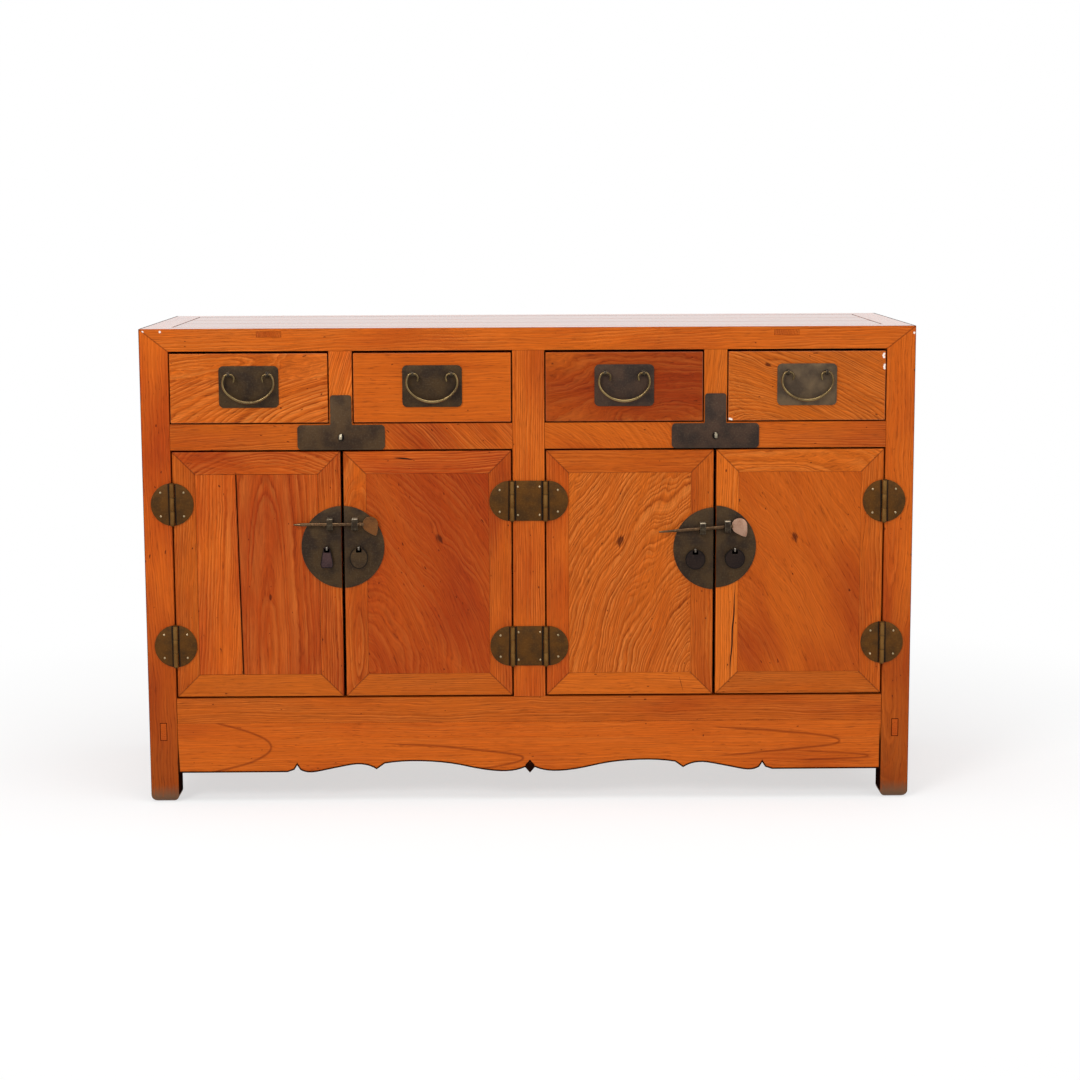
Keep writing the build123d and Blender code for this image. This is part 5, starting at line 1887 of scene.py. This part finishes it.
@dataclass(frozen=True)
class Hinge:
    """One surface hinge: a barrel of three knuckles on its pin, and the leaves beside it."""

    axis: Vector  # where the barrel stands
    z: float  # height of its middle
    face: float  # y of the wood
    radius: float  # of the round leaf
    outer: bool  # True if the leaf's round is centred on the barrel
    plate: float = SHEET
    barrel: float = 4.0
    gap: float = 0.4
    overhang: float = -0.3
    pin_head: float = 3.9
    pin_head_height: float = 0.9
    slip: float = 0.15  # of a middle leaf's centre, past its straight edge
    dark: float = 0.8  # width of the painted shade beside a barrel
    dirt_and_shade: float = 3.0  # how far that painted shade then fades
    nail: Point = (2.0, 2.0, 1.2)  # half widths and height

    @property
    def height(self) -> float:
        """Length of the whole barrel."""
        return 2 * (self.radius + self.overhang)

    @property
    def third(self) -> float:
        """Length of one knuckle."""
        return (self.height - 4 * self.gap) / 3

    @property
    def step(self) -> float:
        """From the middle of one knuckle to the next."""
        return self.third + self.gap

    def leaf(self, side: int, levels: Sequence[float]) -> Mesh:
        """One leaf: half a disc with its knuckles.

        Args:
            side: 1 if the leaf lies to the right of the barrel.
            levels: middles of its knuckles, from the hinge's middle.

        Returns:
            The leaf's mesh, in place.
        """
        edge = side * (self.barrel + self.gap)
        centre = 0.0 if self.outer else edge - side * self.slip
        half = disc(self.radius)
        bmesh.ops.translate(half, vec=(centre, 0, 0), verts=half.verts)
        plate = raised(trimmed(half, edge, side), self.plate)
        # Painted shade beside the barrel.
        darken_beyond(plate, (edge + side * self.dark, 0, 0), (-side, 0, 0), self.dirt_and_shade)
        on_front(plate, self.axis.x, self.z, self.face)
        return merged(plate, *[self.knuckle(level, side) for level in levels])

    def double(self) -> Mesh:
        """The fixed plate over the middle stile, with the outer knuckles of two hinges."""
        half = abs(self.axis.x) - self.barrel - self.gap
        plate = raised(rounded_rectangle(2 * half, 2 * self.radius, 0.3), self.plate)
        # Painted shade beside both barrels.
        for side in (-1, 1):
            darken_beyond(plate, (side * (half - self.dark), 0, 0), (side, 0, 0), self.dirt_and_shade)
        twins = [replace(self, axis=Vector((side * self.axis.x, self.axis.y, 0.0))) for side in (-1, 1)]
        knuckles = [
            twin.knuckle(end * self.step, -side_of(twin.axis.x)) for twin in twins for end in (-1, 1)
        ]
        return merged(on_front(plate, 0.0, self.z, self.face), *knuckles)

    def knuckle(self, level: float, side: int) -> Mesh:
        """One knuckle: a short tube with the lip that joins it to the leaf on one side."""
        z = self.z + level
        # The tube is painted lighter, as the barrel's highlight, and darker at its rims; the lip beside it is
        # painted shade.
        tube = stub(self.barrel, self.third, 0.3, -0.6, segments=28, skin=0.6)
        bmesh.ops.translate(tube, vec=(self.axis.x, self.axis.y, z), verts=tube.verts)
        x0, x1 = sorted((self.axis.x, self.axis.x + side * (self.barrel + self.gap)))
        half = self.third / 2
        box = Box(x0, x1, self.face - self.plate, self.face - 0.2, z - half, z + half)
        lip = Board("lip", box, Grain.UP_FRONT, joint=0.2).mesh()
        return merged(tube, mark(lip, -0.8))

    def nails(self, places: Iterable[float], up: float) -> Mesh:
        """Small domed nail heads, above and below the hinge's middle."""
        heads = [
            on_front(dome(self.nail, (16, 10)), x, self.z + rise, self.face - self.plate)
            for x in places
            for rise in (-up, up)
        ]
        return merged(*heads)

    def pin(self) -> Mesh:
        """A pin's two button heads, all of it that shows."""
        heads = []
        for end in (-1, 1):
            head = stub(self.pin_head, self.pin_head_height, 0.5, 0.7)
            level = self.z + end * (self.height + self.pin_head_height) / 2
            bmesh.ops.translate(head, vec=(self.axis.x, self.axis.y, level), verts=head.verts)
            heads.append(head)
        return merged(*heads)


@dataclass(frozen=True)
class Hinges:
    """Surface hinges: round ones at the legs and long double ones over the middle stile."""

    radius: float = 36.0
    centre_radius: float = 34.0
    outer_spread: float = 243.0  # between the middles of a leg's two hinges
    outer_nails: tuple[float, float] = (19.5, 20.0)  # from the barrel, and from the middle
    centre_nails: tuple[float, float] = (18.5, 24.0)  # from the stile's middle, and up
    leaf_nails: tuple[float, float] = (49.0, 18.5)

    def build(self) -> None:
        """Makes every hinge."""
        for number in (1, 2, 3, 4):
            self._hinges(number)
        for level, hinge in self._pair(3).items():
            name = f"centre_hinge_{level}"
            self._show(hinge.double(), name)
            across, up = self.centre_nails
            self._show(hinge.nails((-across, across), up), f"{name}_nails", 0, NAIL_BRASS, 60)

    def _pair(self, number: int) -> dict[str, Hinge]:
        """The lower and the upper hinge of one door."""
        leaves, outer = Box.of(f"door_{number}_hinges"), number in (1, 4)
        radius = self.radius if outer else self.centre_radius
        margin = (leaves.z1 - leaves.z0 - self.outer_spread) / 2 if outer else radius
        axis = Vector(joint_place(f"door_{number}_hinge"))
        face = Box.of(f"door_{number}_frame").y0
        heights = {"low": leaves.z0 + margin, "high": leaves.z1 - margin}
        return {level: Hinge(axis, z, face, radius, outer) for level, z in heights.items()}

    def _hinges(self, number: int) -> None:
        """Makes what one door's two hinges have: leaves, nails and pins."""
        middle = Box.of(f"door_{number}_frame").centre().x
        for level, hinge in self._pair(number).items():
            tag, x = f"door_{number}_hinge_{level}", hinge.axis.x
            side = side_of(middle - x)
            across, up = self.outer_nails if hinge.outer else self.leaf_nails
            self._show(hinge.leaf(side, (0.0,)), f"{tag}_leaf", number)
            place = x + side * across if hinge.outer else side_of(x) * across
            self._show(hinge.nails((place,), up), f"{tag}_nails", number, NAIL_BRASS, 60)
            if hinge.outer:
                self._show(hinge.leaf(-side, (-hinge.step, hinge.step)), f"{tag}_fixed")
                nails = hinge.nails((x - side * across,), up)
                self._show(nails, f"{tag}_fixed_nails", 0, NAIL_BRASS, 60)
            show(hinge.pin(), f"{tag}_pin", CASE, "brass_hinge", HINGE_BRASS.material(), ["hinge_pins"], 50)

    @staticmethod
    def _show(
        bm: Mesh, name: str, number: int = 0, metal: BrassFinish = HINGE_BRASS, smooth: float = 35
    ) -> None:
        """Dresses what belongs to a door's leaves, or with no number what is fixed to the case."""
        body, node = (f"door_{number}", f"door_{number}_hinges") if number else (CASE, "hinge_plates")
        show(bm, name, body, "brass_hinge", metal.material(), [node], smooth)


def side_of(x: float) -> int:
    """Minus one to the left of the middle and one to its right."""
    return -1 if x < 0 else 1


STAPLE_RISES = (39.5, 39.5, 35.0, 35.0)  # of each door's staple above the plate's middle


@dataclass(frozen=True)
class LockPlate:
    """One half of a round lock plate, with its staple, the eye of its tag and the tag."""

    number: int
    metal: BrassFinish = PLATE_BRASS
    radius: float = 70.0
    plate: float = SHEET
    staple_place: float = 21.0  # from the line where the doors meet
    staple_height: float = 21.0
    staple_reach: float = 16.0
    staple: Eye = Eye(width=9.5, strap=1.8, bend=3.0)
    eye: Eye = Eye(width=2.6, strap=1.1, bend=2.0, flat=2.4)  # of the tag
    tag_border: float = 2.2  # width of the dark line round a tag
    tag_hole: float = 6.0  # round the hole, within which no line is drawn

    @property
    def body(self) -> str:
        """The CAD body of the plate's door."""
        return f"door_{self.number}"

    def build(self) -> None:
        """Makes the half plate and what it carries."""
        node = f"{self.body}_lock"
        whole = Box.of(node)
        partner = self.number + 1 if self.number % 2 else self.number - 1
        door, other = Box.of(f"{self.body}_frame"), Box.of(f"door_{partner}_frame")
        side = -1 if door.x0 < other.x0 else 1
        meeting = (door.x1 + other.x0) / 2 if side < 0 else (door.x0 + other.x1) / 2
        edge = (door.x1 if side < 0 else door.x0) - meeting
        z = whole.z0 + self.radius
        face = door.y0
        half = trimmed(disc(self.radius, 144), edge, side)
        plate = on_front(raised(half, self.plate), meeting, z, face)
        show(plate, f"{self.body}_lock_plate", self.body, "brass_dark", self.metal.material(), [node], 35)
        self._staple(node, meeting + side * self.staple_place, face)
        self._tag(node, face)

    def _staple(self, node: str, x: float, face: float) -> None:
        """Makes the staple that the pin runs through."""
        rise = STAPLE_RISES[self.number - 1]
        z = Box.of(node).z0 + self.radius + rise
        bar = self.staple
        stand = self.staple_reach - self.plate - bar.strap / 2 - bar.bend
        eye = replace(bar, flat=self.staple_height - bar.strap - 2 * bar.bend).mesh(stand)
        # The top of the staple is painted light, as its highlight.
        mark(eye, 0.9, lambda co: co.y > self.staple_height / 2 - 1.5)
        on_front(eye, x, z, face - self.plate)
        show(eye, f"{self.body}_staple", self.body, "brass_dark", EYE_BRASS.material(), [node], 35)

    def _tag(self, node: str, face: float) -> None:
        """Makes the eye and the tag that hangs from it."""
        axis = Vector(joint_place(f"tag_{self.number}_swing"))
        plate = face - self.plate
        eye = on_front(self.eye.mesh(plate - axis.y), axis.x, axis.z + self.eye.flat / 2, plate)
        show(eye, f"{self.body}_tag_eye", self.body, "brass_dark", GLINT_BRASS.material(), [node], 35)
        name = f"{self.body}_tag"
        bm = from_node(name)
        hole = (axis.x, axis.z)
        dark_border(bm, self.tag_border, lambda co: math.dist((co.x, co.z), hole) > self.tag_hole)
        metal = {1: BELL_BRASS, 2: self.metal}.get(self.number, DISC_BRASS)
        show(bm, f"tag_{self.number}", f"tag_{self.number}", "brass_dark", metal.material(), [name], 35)


def from_node(name: str) -> Mesh:
    """A copy of a CAD node's mesh in millimetres, its triangles joined to whole faces."""
    bm = new_mesh()
    bm.from_mesh(frame["nodes"][name].data)
    bmesh.ops.remove_doubles(bm, verts=bm.verts, dist=1e-6)
    bmesh.ops.scale(bm, vec=(1 / MM,) * 3, verts=bm.verts)
    bmesh.ops.dissolve_limit(bm, angle_limit=0.01, verts=bm.verts, edges=bm.edges)
    return bm


@dataclass(frozen=True)
class LockPin:
    """A tapered pin with a flat leaf for a head."""

    pair: str
    metal: BrassFinish  # of the leaf
    tip_length: float
    shoulder: float
    taper: float
    radius: float = 3.0
    tip: float = 1.6
    collar: float = 3.9  # its radius, beside the leaf
    collar_length: float = 3.0
    head: float = 13.2
    overlap: float = 2.0  # of shaft and leaf
    head_thickness: float = 3.0
    tail: float = 22.0  # from the head's middle to the point of its tail
    tail_angle: float = -63.0  # degrees from the pin's line
    tail_spread: float = 62.0  # degrees each side over which the rim runs out to the tail

    def build(self) -> None:
        """Makes the shaft and the leaf."""
        node, body = f"lock_pin_{self.pair}", f"pin_{self.pair}"
        axis = next(j["axis"] for j in frame["joints"] if j["name"] == f"{body}_slide")
        turn = Matrix.Rotation(math.atan2(axis[2], axis[0]), 4, "Z")
        doors = (1, 2) if self.pair == "left" else (3, 4)
        left, right = (Box.of(f"door_{number}_frame") for number in doors)
        middles = [Box.of(f"door_{number}_lock").z0 + LockPlate.radius for number in doors]
        height = sum(z + STAPLE_RISES[number - 1] for z, number in zip(middles, doors)) / 2
        y = Box.of(node).centre().y
        pieces = {"shaft": (self._shaft(), PIN_BRASS, 50), "leaf": (self._leaf(), self.metal, 35)}
        for name, (bm, metal, smooth) in pieces.items():
            bmesh.ops.transform(bm, matrix=turn, verts=bm.verts)
            on_front(bm, (left.x1 + right.x0) / 2, height, y)
            show(bm, f"{body}_{name}", body, "brass_worn", metal.material(), [node], smooth)

    def _shaft(self) -> Mesh:
        """Makes the tapered shaft and its collar, along x."""
        bar = Bender(0.0, disc(self.tip, 20))
        # An arc of a kilometre is straight, and lets the taper grow in one step.
        bar.bend(1e6, math.degrees(self.taper / 1e6), 1, self.radius / self.tip)
        bar.run(self.shoulder + self.tip_length - self.taper)
        shaft = bar.closed()
        bmesh.ops.translate(shaft, vec=(-self.tip_length, 0, 0), verts=shaft.verts)
        ease(shaft, sharp(shaft, 60), 0.5, mark=0.7)
        collar = stub(self.collar, self.collar_length, 0.9, 0.9)
        lay = Matrix.Rotation(math.radians(90), 4, "Y")
        lay = Matrix.Translation((self.shoulder - 2 * self.collar_length, 0, 0)) @ lay
        bmesh.ops.transform(collar, matrix=lay, verts=collar.verts)
        return merged(shaft, collar)

    def _leaf(self) -> Mesh:
        """Makes the flat leaf, a disc whose rim runs out to a tail."""
        leaf = disc(self.head, 72)
        for vert in leaf.verts:
            bearing = math.degrees(math.atan2(vert.co.y, vert.co.x))
            off = abs((bearing - self.tail_angle + 180) % 360 - 180)
            if off < self.tail_spread:
                share = (1 - off / self.tail_spread) ** 2.2
                vert.co *= 1 + (self.tail / self.head - 1) * share
        raised(leaf, self.head_thickness, 0.9)
        centre = self.shoulder + self.head - self.overlap
        bmesh.ops.translate(leaf, vec=(centre, 0, -self.head_thickness / 2), verts=leaf.verts)
        return leaf


@dataclass(frozen=True)
class TeePlates:
    """Upturned T plates over the joints of drawer rail and dividers, each with one stud."""

    bar_width: float = 147.0
    bar_height: float = 42.0
    stem_width: float = 36.0
    plate: float = SHEET
    corner: float = 7.0
    stem_corner: float = 5.0
    stud: Point = (5.2, 6.5, 4.5)  # its half widths and its height
    glint: Point = (2.6, -4.0, 1.2)  # painted highlight of a stud: half width, lower end and least height

    def build(self) -> None:
        """Makes both plates."""
        whole = Box.of("tee_plates")
        for name, side in HALVES:
            x = side * (whole.x1 - self.bar_width / 2)
            height = whole.z1 - whole.z0
            bm = rectangle_tee(self.bar_width, self.bar_height, self.stem_width, height)
            tips = [v for v in bm.verts if v.co.y > height - 1]
            ends = [v for v in bm.verts if abs(v.co.x) > self.stem_width]
            round_corners(bm, ends, self.corner)
            round_corners(bm, [v for v in tips if v.is_valid], self.stem_corner)
            plate = on_front(raised(bm, self.plate), x, whole.z0, whole.y1)
            metal = (TEE_BRASS if x < 0 else GREY_BRASS).material()
            show(plate, f"tee_plate_{name}", CASE, "brass_dark", metal, ["tee_plates"], 35)
            # The stud is painted dark as shade, with a painted highlight near its top.
            stud = mark(dome(self.stud, (24, 14)), -1.0)
            half, low, rise = self.glint
            mark(stud, 1.0, lambda co: abs(co.x - side) < half and co.y > low and co.z > rise)
            on_front(stud, x, whole.z0 + self.bar_height / 2, whole.y1 - self.plate)
            show(stud, f"tee_stud_{name}", CASE, "brass_dark", EYE_BRASS.material(), ["tee_plates"], 60)


def rectangle_tee(width: float, bar: float, stem: float, height: float) -> Mesh:
    """A flat upturned T, its foot at zero, with square corners.

    Args:
        width: of the bar.
        bar: height of the bar.
        stem: width of the stem.
        height: of the whole.

    Returns:
        A mesh of one face that looks up.
    """
    bm = new_mesh()
    half = [(width / 2, 0), (width / 2, bar), (stem / 2, bar), (stem / 2, height)]
    outline = half + [(-x, y) for x, y in reversed(half)]
    bm.faces.new([bm.verts.new((x, y, 0)) for x, y in outline])
    return bm


DRAWERS = (
    Drawer(
        1,
        (
            Figure(ring=7, depth=2, lean=0.4, turn=14, shift=(120, 60), strength=0.8, warmth=0.45),
            Figure(
                ring=9, depth=4, lean=0.16, swirl=1.7, turn=6, shift=(-150, 20), strength=0.7, warmth=0.35
            ),
        ),
    ),
    Drawer(2, (replace(SOFT, ring=8, strength=0.14, warmth=0.5),)),
    Drawer(
        3,
        (
            Figure(
                ring=16, depth=4, lean=0.3, swirl=2.2, shift=(60, 60), warmth=0.8, strength=0.3, light=0.84
            ),
        ),
        GREY_BRASS,
    ),
    Drawer(
        4,
        (
            Figure(
                ring=4.6,
                depth=2,
                lean=0.42,
                swirl=0.8,
                turn=-24,
                shift=(-60, 90),
                knot=(-66, -36, 3.5),
                chips=(
                    (129.0, -53.0, -10),
                    (127.8, -50.4, -10),
                    (128.8, -47.6, -10),
                    (130.2, -34.5, -10),
                    (129.4, -31.6, -10),
                    (130.0, -28.8, -10),
                    (-129.5, 55.0, -10),
                    (-126.5, 56.0, -10),
                ),
                strength=0.7,
                warmth=0.12,
                light=0.87,
            ),
        ),
        PALE_BRASS,
    ),
)
DOORS = (
    Door(
        1,
        Figure(
            ring=11, depth=3, lean=0.12, swirl=0.55, shift=(-150, 12), knot=(-38, 20, 3), warmth=0.95,
            light=1.02,
        ),
        stile_left=replace(PLAIN, turn=-2, warmth=0.6, light=0.88),
        stile_right=replace(PLAIN, warmth=0.8, light=0.98),
        rail_low=replace(SOFT, ring=4, warmth=0.1, light=0.84),
        rail_high=Figure(ring=5, depth=3, lean=0.55, shift=(10, 60), swirl=0.9, warmth=0.8, light=1.03),
        split=(-493.0, -487.0),
    ),
    Door(
        2,
        Figure(
            ring=9, depth=3, lean=0.55, swirl=1.3, turn=24, shift=(-150, -102), knot=(60, 20, 5),
            warmth=0.97, strength=0.22,
        ),
        stile_left=Figure(ring=7, depth=3, lean=0.13, swirl=0.9, shift=(-120, 2), warmth=0.75, light=0.95),
        stile_right=replace(PLAIN, warmth=0.7, ring=4, light=0.97),
        rail_low=replace(SOFT, ring=4, strength=0.4, warmth=0.25, light=0.82),
        rail_high=replace(PLAIN, crack=(-58, -8, -22, -5), warmth=0.75, light=1.12),
    ),
    Door(
        3,
        Figure(
            ring=6, depth=2, lean=0.6, swirl=1.3, turn=-18, shift=(-160, 112), knot=(54, -17, 6),
            strength=0.75, warmth=0.35, light=0.9,
        ),
        stile_left=replace(SOFT, warmth=0.75, light=1.04),
        stile_right=replace(PLAIN, warmth=0.6, light=0.88),
        rail_low=replace(SOFT, warmth=0.05, light=0.93, crack=(84, -14, 92, 16)),
        rail_high=replace(SOFT, ring=9, swirl=1.0, warmth=0.6, light=0.89),
    ),
    Door(
        4,
        Figure(
            ring=12, depth=2, lean=0.5, swirl=1.1, turn=22, shift=(-200, -120), knot=(60, -8, 5),
            strength=0.14, warmth=0.6, light=0.92,
        ),
        stile_left=replace(PLAIN, warmth=0.0, light=1.04, crack=(-12, 15, -196, 5)),
        stile_right=replace(PLAIN, warmth=0.55, swirl=0.9, light=0.92),
        rail_low=replace(PLAIN, ring=4, swirl=0.8, warmth=0.3, light=0.8),
        rail_high=Figure(
            ring=8, depth=3, lean=0.3, shift=(-40, 30), swirl=1.5, strength=0.6, warmth=0.1, light=0.95
        ),
    ),
)
LOCKS = tuple(LockPlate(number) for number in (1, 2, 3, 4))
PINS = (
    LockPin("left", RUST_BRASS, 82.0, 36.0, taper=14.0),
    LockPin("right", ROSE_BRASS, 95.0, 30.0, taper=45.0),
)


# ---- Camera and light ----


@dataclass(frozen=True)
class Studio:
    """Camera, soft lamps, a white surround and a pale floor."""

    eye: Point = (-26.4, -4105.6, 1015.2)
    yaw: float = 0.0116
    pitch: float = -0.1441
    roll: float = -0.0040
    focal: float = 2322.0  # in pixels of the square picture
    sensor: float = 36.0
    ambient: float = 0.42
    lamps: tuple[tuple[str, Point, float, float], ...] = (  # name, place, side and watts
        ("key", (-2.6, -4.4, 3.4), 1.8, 125.0),
        ("fill", (3.2, -4.6, 2.2), 2.8, 42.0),
        ("top", (0.2, -0.6, 3.8), 2.6, 75.0),
    )
    aim: Point = (0.0, 0.0, 0.4)  # where the lamps look
    floor_half: float = 9.0
    floor_tone: str = "#FAFAFA"
    floor_glow: float = 0.62  # how white the camera sees the floor beside the cabinet
    floor_fade: tuple[float, float] = (0.8, 1.7)  # from the cabinet's middle, in metres

    def build(self) -> None:
        """Makes the camera, the surround, the lamps and the floor."""
        self._camera()
        self._surround()
        for lamp in self.lamps:
            self._lamp(*lamp)
        self._floor()

    def _camera(self) -> None:
        """Makes the camera that sees the cabinet nearly level, a little from above."""
        sight = bpy.data.cameras.new("camera")
        sight.sensor_fit = "HORIZONTAL"
        sight.sensor_width = self.sensor
        sight.lens = self.sensor * self.focal / FRAME_SIDE
        sight.clip_end = 100.0
        camera = put("camera", sight)
        forward = Vector(
            (
                math.sin(self.yaw) * math.cos(self.pitch),
                math.cos(self.yaw) * math.cos(self.pitch),
                math.sin(self.pitch),
            )
        )
        level = Vector((math.cos(self.yaw), -math.sin(self.yaw), 0.0))
        over = level.cross(forward)
        right = level * math.cos(self.roll) + over * math.sin(self.roll)
        up = over * math.cos(self.roll) - level * math.sin(self.roll)
        turn = Matrix((right, up, -forward)).transposed().to_4x4()
        camera.matrix_world = Matrix.Translation(Vector(self.eye) * MM) @ turn
        bpy.context.scene.camera = camera

    def _surround(self) -> None:
        """Makes the world: white to the camera and in reflections, softer as light."""
        world = bpy.data.worlds.new("surround")
        world.use_nodes = True
        tree = world.node_tree
        tree.nodes.clear()
        node = partial(add, tree)
        path = node("LightPath").outputs
        seen = node("Math", (path["Is Camera Ray"], path["Is Glossy Ray"]), operation="MAXIMUM")
        seen = node("Math", (seen, path["Is Transmission Ray"]), operation="MAXIMUM")
        strength = node("MapRange", (seen, 0.0, 1.0, self.ambient, 1.0))
        light = node("Background", ((1, 1, 1, 1), strength))
        node("OutputWorld", (light,))
        bpy.context.scene.world = world

    def _lamp(self, name: str, place: Point, size: float, power: float) -> None:
        """Makes one soft square lamp that looks at the cabinet.

        Args:
            name: the lamp's name.
            place: where it hangs, in metres.
            size: its side, in metres.
            power: its power, in watts.
        """
        lamp = bpy.data.lights.new(name, "AREA")
        lamp.size = size
        lamp.energy = power
        holder = put(name, lamp)
        aim = Vector(self.aim) - Vector(place)
        holder.rotation_euler = aim.to_track_quat("-Z", "Y").to_euler()
        holder.location = place

    def _floor(self) -> None:
        """Makes the floor, which fades into the surround far from the cabinet."""
        bm = bmesh.new()
        bmesh.ops.create_grid(bm, x_segments=1, y_segments=1, size=self.floor_half)
        mesh = bpy.data.meshes.new("floor")
        bm.to_mesh(mesh)
        bm.free()
        material = blank_material("floor_paper_white")
        tree = material.node_tree
        node = partial(add, tree)
        far = node("VectorMath", (node("TexCoord").outputs["Object"],), operation="LENGTH")
        links = (far, *self.floor_fade, self.floor_glow, 1.0)
        fade = node("MapRange", links, interpolation_type="SMOOTHSTEP")
        path = node("LightPath").outputs
        seen = node("Math", (path["Is Camera Ray"], path["Is Glossy Ray"]), operation="MAXIMUM")
        share = node("Math", (fade, seen), operation="MULTIPLY")
        paper = node("BsdfDiffuse", (srgb(self.floor_tone),))
        glow = node("Emission", ((1, 1, 1, 1), 1.0))
        node("OutputMaterial", (node("MixShader", (share, paper, glow)),))
        mesh.materials.append(material)
        floor = put("floor", mesh)


def main() -> None:
    """Builds the cabinet, one sub-assembly after another."""
    logging.basicConfig(level=logging.INFO, format="%(message)s")
    bpy.context.scene.view_settings.view_transform = "Standard"
    Studio().build()
    case = (TopFrame(), Legs(), CaseFront(), Apron(), SidesAndBack(), Inside())
    for assembly in (*case, *DRAWERS, *DOORS, Hinges(), *LOCKS, *PINS, TeePlates()):
        assembly.build()
        LOG.info("%s done", type(assembly).__name__)


if __name__ == "__main__":
    main()
